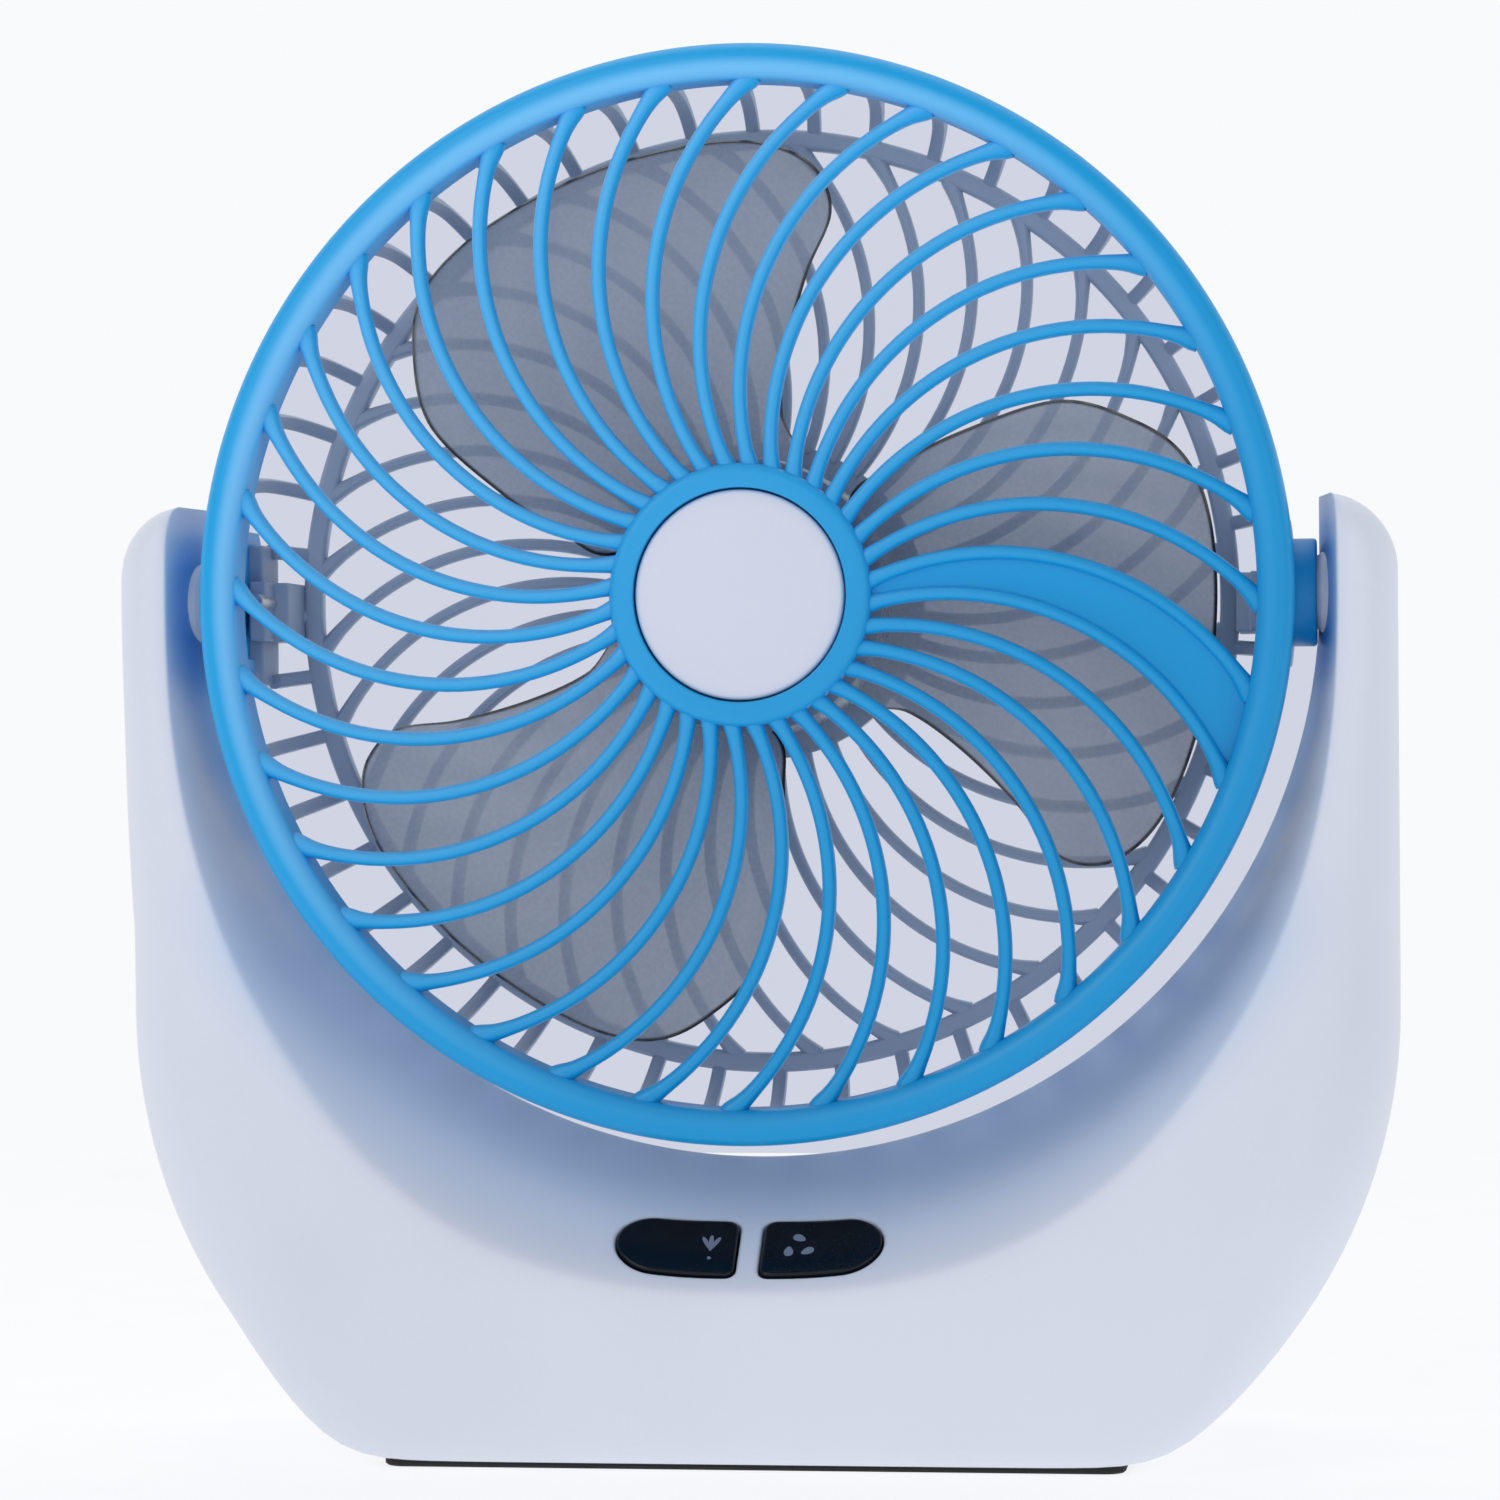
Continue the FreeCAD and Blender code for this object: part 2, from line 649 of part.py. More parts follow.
def pivot_bush(side):
    inner = RIDGE_R
    outer = rod_x(side * inner, side * (inner + BUSH_LEN), PIVOT_DEPTH, PIVOT_Z, BUSH_R)
    bore = rod_x(side * (inner - 1.0), side * (inner + BUSH_LEN + 1.0), PIVOT_DEPTH, PIVOT_Z,
                 JOURNAL_R + RUN_FIT)
    return outer.cut(bore)


def journal_end():
    return RIDGE_R + BUSH_LEN + END_PLAY


def pivot_washers():
    rings = []
    for side in (-1.0, 1.0):
        ring = rod_x(side * journal_end(), side * (journal_end() + WASHER_T), PIVOT_DEPTH, PIVOT_Z,
                     WASHER_R)
        hole = rod_x(side * (journal_end() - 1.0), side * (journal_end() + WASHER_T + 1.0), PIVOT_DEPTH,
                     PIVOT_Z, PIVOT_SCREW_R + SCREW_GAP)
        rings.append(ring.cut(hole))
    return Part.makeCompound(rings)


def pivot_screws():
    screws = []
    for side in (-1.0, 1.0):
        seat = journal_end() + WASHER_T
        head = rod_x(side * seat, side * (seat + PIVOT_SCREW_HEAD_T), PIVOT_DEPTH, PIVOT_Z,
                     PIVOT_SCREW_HEAD_R)
        shank = rod_x(side * (seat - PIVOT_SCREW_LEN), side * seat, PIVOT_DEPTH, PIVOT_Z, PIVOT_SCREW_R)
        screws.append(head.fuse(shank).removeSplitter())
    return Part.makeCompound(screws)


# ---------------------------------------------------------------- head: front grille

def arc_band(arc_r, centre_r, centre_deg, width, r_in, r_out, depth0, depth1):
    """A curved bar of one arc between two radii of the head, cut from the arc's ring."""
    centre = polar(centre_r, centre_deg)
    outer = rod_y(centre.x, centre.z, depth0, depth1, arc_r + width / 2.0)
    bar = outer.cut(rod_y(centre.x, centre.z, depth0 - 1.0, depth1 + 1.0, arc_r - width / 2.0))
    return bar.common(tube(depth0, depth1, r_out, r_in))


def spoke():
    """The first spoke. Its arc's ring meets the grille twice, and the far crossing goes."""
    bar = arc_band(SPOKE_ARC_R, SPOKE_ARC_CENTRE_R, SPOKE_ARC_START, SPOKE_W, HUB_R - 1.0,
                   RING_IN + 1.0, SPOKE_FRONT, SPOKE_BACK)
    keep = max(bar.Solids, key=lambda s: math.atan2(s.CenterOfMass.z - PIVOT_Z, s.CenterOfMass.x))
    return keep


def panel():
    """The filled cell: what lies inside the next spoke's arc and outside the first's."""
    pitch = 360.0 / SPOKES
    centre = polar(SPOKE_ARC_CENTRE_R, SPOKE_ARC_START)
    after = polar(SPOKE_ARC_CENTRE_R, SPOKE_ARC_START + pitch)
    back = PANEL_FRONT + PANEL_T
    inside = rod_y(after.x, after.z, PANEL_FRONT, back, SPOKE_ARC_R)
    cell = inside.cut(rod_y(centre.x, centre.z, PANEL_FRONT - 1.0, back + 1.0, SPOKE_ARC_R))
    cell = cell.common(tube(PANEL_FRONT, back, RING_IN + 1.0, HUB_R - 1.0))
    return max(cell.Solids, key=lambda s: math.atan2(s.CenterOfMass.z - PIVOT_Z, s.CenterOfMass.x))


def ring():
    """The blue ring, with a rounded front."""
    solid = tube(0.0, RING_DEPTH, RING_R, RING_IN)
    front = [edge for edge in solid.Edges if abs(edge.BoundBox.YMax - at(0.0)) < 0.01
             and edge.BoundBox.YLength < 0.01]
    return solid.makeFillet(RING_ROUND, front)


def ear_foot(side, grow):
    """The block on an ear's inside that takes the head screw."""
    foot_in = side * (head_screw_x() - SCREW_R - FOOT_WALL - grow)
    foot_out = side * (RING_R - EAR_SETBACK - 0.5 * EAR_T)
    return box(min(foot_in, foot_out), max(foot_in, foot_out), RING_DEPTH - 1.5,
               PIVOT_DEPTH - FOOT_GAP + grow, PIVOT_Z - FOOT_HALF - grow, PIVOT_Z + FOOT_HALF + grow)


def pivot_lug(side):
    """A plate and a foot behind the ring, with the boss and journal that the head tilts on.

    It seats on the ring's back and inside, and the head screw holds it to the basket.
    """
    outer = RING_R - EAR_SETBACK
    half = ear_half()
    x0 = side * (RING_R / 2.0)
    x1 = side * (RING_R + 1.0)
    plate = tube(RING_DEPTH - 1.0, EAR_BACK, outer, outer - EAR_T)
    plate = plate.common(box(min(x0, x1), max(x0, x1), 0.0, EAR_BACK, PIVOT_Z - half, PIVOT_Z + half))
    boss = rod_x(side * (outer - EAR_T + 0.6), side * (RIDGE_R - END_PLAY), PIVOT_DEPTH, PIVOT_Z, BOSS_R)
    journal = rod_x(side * (RIDGE_R - END_PLAY - 1.0), side * journal_end(), PIVOT_DEPTH, PIVOT_Z,
                    JOURNAL_R)
    thread = rod_x(side * (journal_end() + WASHER_T - PIVOT_SCREW_LEN), side * (journal_end() + 1.0),
                   PIVOT_DEPTH, PIVOT_Z, PIVOT_SCREW_R + SCREW_GAP)
    lug = joined([plate, ear_foot(side, 0.0), boss, journal])
    return lug.cut(tube(0.0, RING_DEPTH, RING_R, RING_IN)).cut(thread).cut(head_screw_holes())


def front_grille():
    first = spoke()
    spokes = [turned(first, 360.0 / SPOKES * i) for i in range(SPOKES)]
    floor = HUB_BACK - HUB_FLOOR
    hub = disc(HUB_FRONT, HUB_BACK, HUB_R).cut(disc(HUB_FRONT - 1.0, floor, CAP_R + CAP_GAP))
    return joined([ring(), hub, panel()] + spokes)


def hub_cap():
    """A disc that is pressed into the hub and stands on its floor."""
    floor = HUB_BACK - HUB_FLOOR
    cap = disc(HUB_FRONT + CAP_RECESS, HUB_FRONT + CAP_RECESS + CAP_T, CAP_R)
    rim = tube(HUB_FRONT + CAP_RECESS + CAP_T, floor, CAP_R - 1.0, CAP_R - 3.0)
    return cap.fuse(rim).removeSplitter()


# ---------------------------------------------------------------- head: rear basket

def side_rib():
    """One rib of the basket's side, bent from the rim over the shoulder to the middle ring.

    Its ends lie inside the rim and inside the middle ring.
    """
    rim = RING_R - RIM_GAP - RIB_BURY
    start = RING_DEPTH + RIM_T - RIB_BURY
    end = BASKET_BACK - RIB_BURY
    end_r = MID_RING_R - RIB_BURY
    shoulder = rim - SHOULDER_DROP
    halfway = 0.5 * (start + end)

    def p(radius, depth):
        return Vec(radius, at(depth), PIVOT_Z - SIDE_RIB_W / 2.0)

    outer = arc(p(rim, start), p(shoulder, halfway + 1.0), p(end_r, end))
    inner = arc(p(end_r - 1.5, MID_RING_FRONT + RIB_BURY), p(shoulder - SIDE_RIB_T, halfway),
                p(rim - SIDE_RIB_T + RIB_BURY, start))
    return extruded([outer, line(p(end_r, end), p(end_r - 1.5, MID_RING_FRONT + RIB_BURY)), inner,
                     line(p(rim - SIDE_RIB_T + RIB_BURY, start), p(rim, start))],
                    Vec(0, 0, SIDE_RIB_W))


def rear_rib():
    """One swirling rib of the back, bent the other way from the front spokes."""
    bar = arc_band(REAR_ARC_R, REAR_ARC_CENTRE_R, 90.0, REAR_RIB_W, REAR_HUB_R - 1.0,
                   MID_RING_R - MID_RING_W + 0.6, MID_RING_FRONT, BASKET_BACK)
    return max(bar.Solids, key=lambda s: s.CenterOfMass.x)


def ear_inside():
    """Radius of an ear's inner face."""
    return RING_R - EAR_SETBACK - EAR_T


def ear_half():
    return RING_R * math.tan(math.radians(EAR_HALF_DEG))


def pivot_block(side):
    """The filled side cell behind an ear's foot."""
    outer = ear_inside() - BLOCK_GAP
    x_out = side * outer
    x_in = side * (outer - BLOCK_IN)
    return box(min(x_in, x_out), max(x_in, x_out), PIVOT_DEPTH, BASKET_BACK - RIB_BURY,
               PIVOT_Z - BLOCK_HALF, PIVOT_Z + BLOCK_HALF)


def ear_clearance(side):
    """The room that the basket leaves round an ear."""
    half = ear_half() + EAR_ROOM
    x0 = side * (RING_R / 2.0)
    x1 = side * (RING_R + 2.0)
    room = tube(RING_DEPTH - 1.0, EAR_BACK + BLOCK_GAP, RING_R + 1.0, ear_inside() - 0.5 * BLOCK_GAP)
    return room.common(box(min(x0, x1), max(x0, x1), 0.0, FAR, PIVOT_Z - half, PIVOT_Z + half))


def block_tie(side):
    """A bar that ties a pivot block to the ribs above and below it."""
    outer = ear_inside() - BLOCK_GAP
    x_in = side * (outer - 0.8 * BLOCK_IN)
    x_out = side * (outer - 0.2 * BLOCK_IN)
    return box(min(x_in, x_out), max(x_in, x_out), EAR_BACK, MID_RING_FRONT - RIB_BURY,
               PIVOT_Z - TIE_HALF, PIVOT_Z + TIE_HALF)


def basket_side():
    """The basket's side: ribs over a rounded shoulder, their rim and the pivots' blocks."""
    rim_in = RING_R - RIM_GAP - SIDE_RIB_T
    rim = tube(RING_DEPTH, RING_DEPTH + RIM_T, RING_R - RIM_GAP, rim_in)
    first = side_rib()
    ribs = [turned(first, 360.0 / SIDE_RIBS * i) for i in range(SIDE_RIBS)]
    blocks = [pivot_block(-1.0), pivot_block(1.0), block_tie(-1.0), block_tie(1.0)]
    side_wall = rim.fuse(ribs).fuse(blocks)
    for side in (-1.0, 1.0):
        side_wall = side_wall.cut(ear_clearance(side)).cut(ear_foot(side, FOOT_GAP))
    return side_wall.cut(disc(MID_RING_FRONT, FAR, MID_RING_R)).cut(head_screw_holes())


def rear_grille():
    """The flat back of the basket: the middle ring, its swirling ribs and the motor's plate."""
    mid = tube(MID_RING_FRONT, BASKET_BACK, MID_RING_R, MID_RING_R - MID_RING_W)
    hub = disc(BASKET_BACK - REAR_HUB_T, BASKET_BACK, REAR_HUB_R)
    first = rear_rib()
    ribs = [turned(first, 360.0 / REAR_RIBS * i) for i in range(REAR_RIBS)]
    grille = mid.fuse([hub] + ribs)
    grille = grille.cut(disc(BASKET_BACK - REAR_HUB_T - 1.0, BASKET_BACK + 1.0, MOTOR_BUSH_R + 0.4))
    for x in (-MOTOR_SCREW_X, MOTOR_SCREW_X):
        grille = grille.cut(rod_y(x, PIVOT_Z, MOTOR_FRONT, BASKET_BACK + 1.0, MOTOR_SCREW_R + SCREW_GAP))
    return grille


def head_screw_x():
    return ear_inside() - BLOCK_GAP - 0.4 * BLOCK_IN


def head_screw_holes():
    """One hole a side, through the basket's block and into the foot of the ear."""
    holes = [rod_y(side * head_screw_x(), PIVOT_Z, HEAD_SCREW_END, BASKET_BACK + 1.0,
                   SCREW_R + SCREW_GAP) for side in (-1.0, 1.0)]
    return holes[0].fuse(holes[1])


def head_screws():
    screws = []
    for side in (-1.0, 1.0):
        x = side * head_screw_x()
        head = rod_y(x, PIVOT_Z, BASKET_BACK, BASKET_BACK + SCREW_HEAD_T, SCREW_HEAD_R)
        shank = rod_y(x, PIVOT_Z, HEAD_SCREW_END, BASKET_BACK, SCREW_R)
        screws.append(head.fuse(shank).removeSplitter())
    return Part.makeCompound(screws)


# ---------------------------------------------------------------- motor

def motor_back():
    return BASKET_BACK - REAR_HUB_T


def motor_can():
    """The steel can, open at the back, with magnets inside."""
    can = disc(MOTOR_FRONT, motor_back() - MOTOR_CAP_T, MOTOR_R)
    can = can.cut(disc(MOTOR_FRONT + MOTOR_WALL, FAR, MOTOR_R - MOTOR_WALL))
    return can.cut(disc(0.0, FAR, MOTOR_BUSH_R + SCREW_GAP))


def motor_magnets():
    outer = MOTOR_R - MOTOR_WALL - SCREW_GAP
    start = MOTOR_FRONT + MOTOR_WALL + 0.2
    sleeve = tube(start, start + CORE_LEN, outer, outer - MAGNET_T)
    gap = box(-FAR, FAR, 0.0, FAR, PIVOT_Z - 3.0, PIVOT_Z + 3.0)
    return sleeve.cut(gap)


def motor_end_cap():
    cap = disc(motor_back() - MOTOR_CAP_T, motor_back(), MOTOR_R)
    cap = cap.cut(disc(0.0, FAR, MOTOR_BUSH_R + SCREW_GAP))
    for x in (-MOTOR_SCREW_X, MOTOR_SCREW_X):
        cap = cap.cut(rod_y(x, PIVOT_Z, 0.0, FAR, MOTOR_SCREW_R + SCREW_GAP))
    return cap


def motor_bushes():
    front = tube(MOTOR_FRONT - MOTOR_BUSH_LEN + MOTOR_WALL, MOTOR_FRONT + MOTOR_WALL, MOTOR_BUSH_R,
                 SHAFT_R + RUN_FIT)
    back = tube(motor_back() - MOTOR_CAP_T, motor_back(), MOTOR_BUSH_R, SHAFT_R + RUN_FIT)
    return Part.makeCompound([front, back])


def motor_screws():
    screws = []
    for x in (-MOTOR_SCREW_X, MOTOR_SCREW_X):
        head = rod_y(x, PIVOT_Z, BASKET_BACK, BASKET_BACK + 1.4, MOTOR_SCREW_R * 2.0)
        shank = rod_y(x, PIVOT_Z, motor_back() - MOTOR_CAP_T, BASKET_BACK, MOTOR_SCREW_R)
        screws.append(head.fuse(shank).removeSplitter())
    return Part.makeCompound(screws)


def motor_cover():
    """A round cap over the motor's screws at the back of the basket."""
    cover = disc(BASKET_BACK, BASKET_BACK + MOTOR_COVER_T, MOTOR_COVER_R)
    cover = cover.cut(disc(BASKET_BACK - 1.0, BASKET_BACK + MOTOR_COVER_T - 1.4, MOTOR_COVER_R - 1.6))
    edge = [e for e in cover.Edges if abs(e.BoundBox.YMin - at(BASKET_BACK + MOTOR_COVER_T)) < 0.01]
    return cover.makeFillet(1.2, edge)


def motor_shaft():
    return disc(SHAFT_FRONT, motor_back() + 1.0, SHAFT_R)


def armature_core():
    start = MOTOR_FRONT + MOTOR_WALL + 0.2
    return tube(start, start + CORE_LEN, CORE_R, SHAFT_R)


def commutator():
    start = MOTOR_FRONT + MOTOR_WALL + 0.2 + CORE_LEN
    return tube(start, start + COMMUTATOR_LEN, COMMUTATOR_R, SHAFT_R)


def blade():
    """One broad blade: upright sections across it at growing distances from the hub, lofted."""
    bearing = math.radians(BLADE_FIRST)
    outward = Vec(math.cos(bearing), 0, math.sin(bearing))
    across = Vec(-math.sin(bearing), 0, math.cos(bearing))
    centre = Vec(0, at(0.5 * (BLADE_FRONT + BLADE_BACK)), PIVOT_Z)
    sections = []
    for reach, trailing, leading, rise in BLADE_SECTIONS:
        rows = []
        for thick in (-0.5 * BLADE_T, 0.5 * BLADE_T):
            row = []
            for share in (0.0, 0.25, 0.5, 0.75, 1.0):
                bow = BLADE_BOW * math.sin(math.pi * share)
                back = rise * (1.0 - 2.0 * share) + bow + thick
                spot = leading + (trailing - leading) * share
                row.append(centre + outward * reach + across * spot + Vec(0, back, 0))
            rows.append(row)
        front = Part.BSplineCurve()
        front.interpolate(rows[0])
        back = Part.BSplineCurve()
        back.interpolate(rows[1])
        sections.append(Part.Wire([front.toShape(), line(rows[0][-1], rows[1][-1]), back.toShape(),
                                   line(rows[1][0], rows[0][0])]))
    sheet = Part.makeLoft(sections, True, False)
    return sheet.common(tube(0.0, BASKET_BACK, BLADE_TIP_R, ROTOR_HUB_R - 0.9))


def impeller():
    cup = disc(ROTOR_FRONT, ROTOR_BACK, ROTOR_HUB_R)
    cup = cup.cut(disc(ROTOR_FRONT + ROTOR_HUB_WALL, FAR, ROTOR_HUB_R - ROTOR_HUB_WALL))
    sleeve = disc(ROTOR_FRONT, MOTOR_FRONT - MOTOR_BUSH_LEN, 4.0)
    first = blade()
    blades = [turned(first, 360.0 / BLADES * i) for i in range(BLADES)]
    wheel = joined([cup, sleeve] + blades)
    return wheel.cut(disc(SHAFT_FRONT, FAR, SHAFT_R))


# ---------------------------------------------------------------- nodes

def build():
    block = base_block(0.0)
    hollow = base_block(WALL)
    proud = base_block(-BUTTON_PROUD)
    button = fan_button(proud)
    switch = fan_switch()
    return {
        "base_front_shell": base_front_shell(block, hollow),
        "base_rear_shell": base_rear_shell(block, hollow),
        "anti_slip_pad": pad_solid(),
        "shell_screws": shell_screws(),
        "left_pivot_bush": pivot_bush(-1.0),
        "right_pivot_bush": pivot_bush(1.0),
        "lamp_diffuser": lamp_diffuser(block),
        "led_board": led_board(),
        "led_chips": led_chips(),
        "battery_tray": battery_tray(),
        "battery_cell": battery_cell(),
        "battery_clips": battery_clips(),
        "charge_board": charge_board(),
        "usb_socket": usb_socket(block),
        "charge_lens": charge_lens(block),
        "control_board": control_board(),
        "fan_switch": switch,
        "light_switch": mirrored(switch),
        "fan_button": button,
        "light_button": mirrored(button),
        "front_grille": front_grille(),
        "hub_cap": hub_cap(),
        "left_pivot_lug": pivot_lug(-1.0),
        "right_pivot_lug": pivot_lug(1.0),
        "basket_side": basket_side(),
        "rear_grille": rear_grille(),
        "head_screws": head_screws(),
        "pivot_washers": pivot_washers(),
        "pivot_screws": pivot_screws(),
        "motor_can": motor_can(),
        "motor_magnets": motor_magnets(),
        "motor_end_cap": motor_end_cap(),
        "motor_bushes": motor_bushes(),
        "motor_screws": motor_screws(),
        "motor_cover": motor_cover(),
        "impeller": impeller(),
        "motor_shaft": motor_shaft(),
        "armature_core": armature_core(),
        "commutator": commutator(),
    }


os.makedirs("parts", exist_ok=True)
for name, shape in build().items():
    if not shape.isValid() or not shape.Solids:
        raise ValueError(name + " is not a valid solid")
    shape.exportStep(os.path.join("parts", name + ".step"))
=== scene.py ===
"""Looks of a small rechargeable tilting desk fan.

A blue grilled head hangs in a white U-shaped cradle. The skins are worked out here in millimetres,
in the CAD's own frame: X to the viewer's right, the fan blows towards -Y, Z up. A depth counts
backwards from the front of the blue ring, and Y = depth - HALF_DEPTH.
"""
import math

import bmesh
import bpy
import numpy as np
from mathutils import Matrix, Vector


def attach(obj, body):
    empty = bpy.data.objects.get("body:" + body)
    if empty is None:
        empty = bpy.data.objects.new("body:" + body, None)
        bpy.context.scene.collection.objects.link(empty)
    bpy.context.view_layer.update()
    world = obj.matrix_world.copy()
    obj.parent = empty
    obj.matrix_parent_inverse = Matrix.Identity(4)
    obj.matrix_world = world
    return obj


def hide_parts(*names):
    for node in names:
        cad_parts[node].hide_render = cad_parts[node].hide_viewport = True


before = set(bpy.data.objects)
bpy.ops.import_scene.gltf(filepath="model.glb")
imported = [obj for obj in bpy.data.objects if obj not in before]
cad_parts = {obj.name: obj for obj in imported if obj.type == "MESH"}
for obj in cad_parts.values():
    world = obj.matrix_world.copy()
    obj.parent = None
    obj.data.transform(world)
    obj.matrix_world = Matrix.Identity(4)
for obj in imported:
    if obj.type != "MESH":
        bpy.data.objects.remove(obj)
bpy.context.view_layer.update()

MM = 0.001
HALF_DEPTH = 39.0
PIVOT_Z = 139.0
PIVOT_DEPTH = 22.0

# Head
RING_R = 87.0
RING_IN = 81.2
RING_DEPTH = 10.0
HUB_R = 20.8
CAP_R = 16.6
SPOKES = 36
SPOKE_ARC_R = 47.2
SPOKE_ARC_OUT = 57.2
SPOKE_ARC_DEG = -55.7
SPOKE_FRONT = 2.6
SPOKE_BACK = 6.2
PANEL_FRONT = 3.9
PANEL_BACK = 5.5
EAR_OUT = 86.8
EAR_IN = 84.3
EAR_HALF = 11.7
EAR_ROUND = 2.0
EAR_FRONT = 9.0
EAR_BACK = 33.0
MID_RING_R = 77.5
MID_RING_W = 3.2
MID_FRONT = 36.5
BASKET_BACK = 40.0
SIDE_RIBS = 48
REAR_RIBS = 36
REAR_HUB_R = 26.0
BLADES = 3
BLADE_FIRST = 113.0

# Base
BASE_HALF = 103.0
FLANK_R = 86.7
FLANK_Z = 73.0
CORNER_R = 12.0
FOOT_Z = 1.0
RIDGE_R = 90.5
RIDGE_DEPTH = 27.0
CREASE_HALF = 94.0
CREASE_DROP = 110.0
CREASE_DEPTH = 1.5
CREASE_POWER = 2.4
REAR_HALF = 98.0
REAR_DROP = 108.0
REAR_DEPTH = 86.0
SLOPE = math.atan2(CREASE_DROP - RIDGE_R, RIDGE_DEPTH - CREASE_DEPTH)

# CAD nodes that one skin stands for
GRILLE_NODES = ["front_grille", "left_pivot_lug", "right_pivot_lug"]
BASKET_NODES = ["rear_grille", "basket_side"]


# ------------------------------------------------------------------------------ meshes

class Skin:
    """Points and faces of one piece, gathered in millimetres before its mesh is made."""

    def __init__(self):
        self.points = []
        self.faces = []
        self.count = 0
        self.marks = []

    def add(self, points, mark=1.0):
        """Adds an array of points (..., 3) and returns their numbers in the same layout."""
        points = np.asarray(points, float)
        ids = self.count + np.arange(points[..., 0].size).reshape(points.shape[:-1])
        self.points.append(points.reshape(-1, 3))
        self.marks.append(np.broadcast_to(mark, points.shape[:-1]).reshape(-1))
        self.count += ids.size
        return ids

    def stitch(self, ids, around=False, skip=None):
        """Four-sided faces over a grid of point numbers, joined round its second way if asked."""
        if around:
            ids = np.concatenate([ids, ids[:, :1]], axis=1)
        quads = np.stack([ids[:-1, :-1], ids[1:, :-1], ids[1:, 1:], ids[:-1, 1:]], axis=-1)
        if skip is not None:
            quads = quads[~skip]
        self.faces.append(quads.reshape(-1, 4))

    def fan(self, loop, centre, mark=1.0):
        """Closes a loop of point numbers with triangles to one new point."""
        tip = self.add(np.asarray(centre, float).reshape(1, 3), mark)[0]
        after = np.roll(loop, -1)
        self.faces.append(np.stack([loop, after, np.full_like(loop, tip)], axis=-1))

    def tube(self, rows, ends=True, mark=1.0):
        """A closed body from rows of loops (rows, around, 3), its ends filled with fans."""
        ids = self.add(rows, mark)
        self.stitch(ids, around=True)
        if ends:
            self.fan(ids[0], rows[0].mean(axis=0), np.mean(mark))
            self.fan(ids[-1], rows[-1].mean(axis=0), np.mean(mark))
        return ids

    def piece(self, name, material, body, replaces=(), sharp=38.0, outward=True,
              mark=None):
        """The finished object, riding on its body. mark names the attribute that keeps the marks."""
        mesh = bpy.data.meshes.new(name)
        points = np.concatenate(self.points) * MM
        loops = np.concatenate([f.reshape(-1) for f in self.faces]).astype(np.int32)
        sizes = np.concatenate([np.full(len(f), f.shape[1]) for f in self.faces]).astype(np.int32)
        starts = np.concatenate([[0], np.cumsum(sizes)[:-1]]).astype(np.int32)
        mesh.vertices.add(len(points))
        mesh.vertices.foreach_set("co", points.astype(np.float32).reshape(-1))
        mesh.loops.add(len(loops))
        mesh.loops.foreach_set("vertex_index", loops)
        mesh.polygons.add(len(sizes))
        mesh.polygons.foreach_set("loop_start", starts)
        mesh.update(calc_edges=True)
        mesh.validate()
        if mark:
            layer = mesh.attributes.new(mark, "FLOAT", "POINT")
            layer.data.foreach_set("value", np.concatenate(self.marks).astype(np.float32))
        if outward:
            work = bmesh.new()
            work.from_mesh(mesh)
            bmesh.ops.recalc_face_normals(work, faces=work.faces)
            work.to_mesh(mesh)
            work.free()
        mesh.shade_smooth()
        mesh.set_sharp_from_angle(angle=math.radians(sharp))
        mesh.materials.append(material)
        obj = bpy.data.objects.new(name, mesh)
        bpy.context.scene.collection.objects.link(obj)
        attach(obj, body)
        if replaces:
            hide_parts(*replaces)
        return obj


def place(x, depth, z):
    """Points from X, depth and Z, which may be arrays that fit together."""
    x, depth, z = np.broadcast_arrays(x, depth, z)
    return np.stack([x, depth - HALF_DEPTH, z], axis=-1)


def head_point(radius, angle, depth):
    """Points of the head from the distance and angle (radians) about its axis, and depth."""
    return place(radius * np.cos(angle), depth, PIVOT_Z + radius * np.sin(angle))


def turned(points, angle):
    """Points turned about the head's axis, counter-clockwise from the front."""
    x = points[..., 0]
    z = points[..., 2] - PIVOT_Z
    c, s = math.cos(angle), math.sin(angle)
    return np.stack([c * x - s * z, points[..., 1], PIVOT_Z + s * x + c * z], axis=-1)


def revolve(skin, profile, steps=192, closed=False, mark=1.0):
    """A body of revolution about the head's axis from a profile of (radius, depth).

    A profile that starts and ends on the axis is closed there by fans.
    """
    profile = np.asarray(profile, float)
    angle = np.linspace(0.0, 2.0 * math.pi, steps, endpoint=False)
    rows = head_point(profile[:, 0, None], angle[None, :], profile[:, 1, None])
    if closed:
        ids = skin.add(rows, mark)
        skin.stitch(np.concatenate([ids, ids[:1]], axis=0), around=True)
        return
    inner = rows[1:-1]
    ids = skin.add(inner, mark)
    skin.stitch(ids, around=True)
    skin.fan(ids[0], rows[0].mean(axis=0), mark)
    skin.fan(ids[-1], rows[-1].mean(axis=0), mark)


def rounded(corners, radii, steps=5):
    """A polygon's points with its corners rounded: each corner becomes an arc of its radius."""
    corners = np.asarray(corners, float)
    out = []
    n = len(corners)
    for i in range(n):
        p, a, b = corners[i], corners[i - 1], corners[(i + 1) % n]
        r = radii[i] if np.ndim(radii) else radii
        if r <= 0.0:
            out.append(p)
            continue
        u = (a - p) / np.linalg.norm(a - p)
        v = (b - p) / np.linalg.norm(b - p)
        half = 0.5 * math.acos(max(-1.0, min(1.0, float(u @ v))))
        back = r / math.tan(half)
        middle = p + (u + v) / np.linalg.norm(u + v) * (r / math.sin(half))
        start = p + u * back - middle
        end = p + v * back - middle
        for k in range(steps + 1):
            w = k / steps
            ray = start * (1.0 - w) + end * w
            out.append(middle + ray / np.linalg.norm(ray) * r)
    return np.array(out)


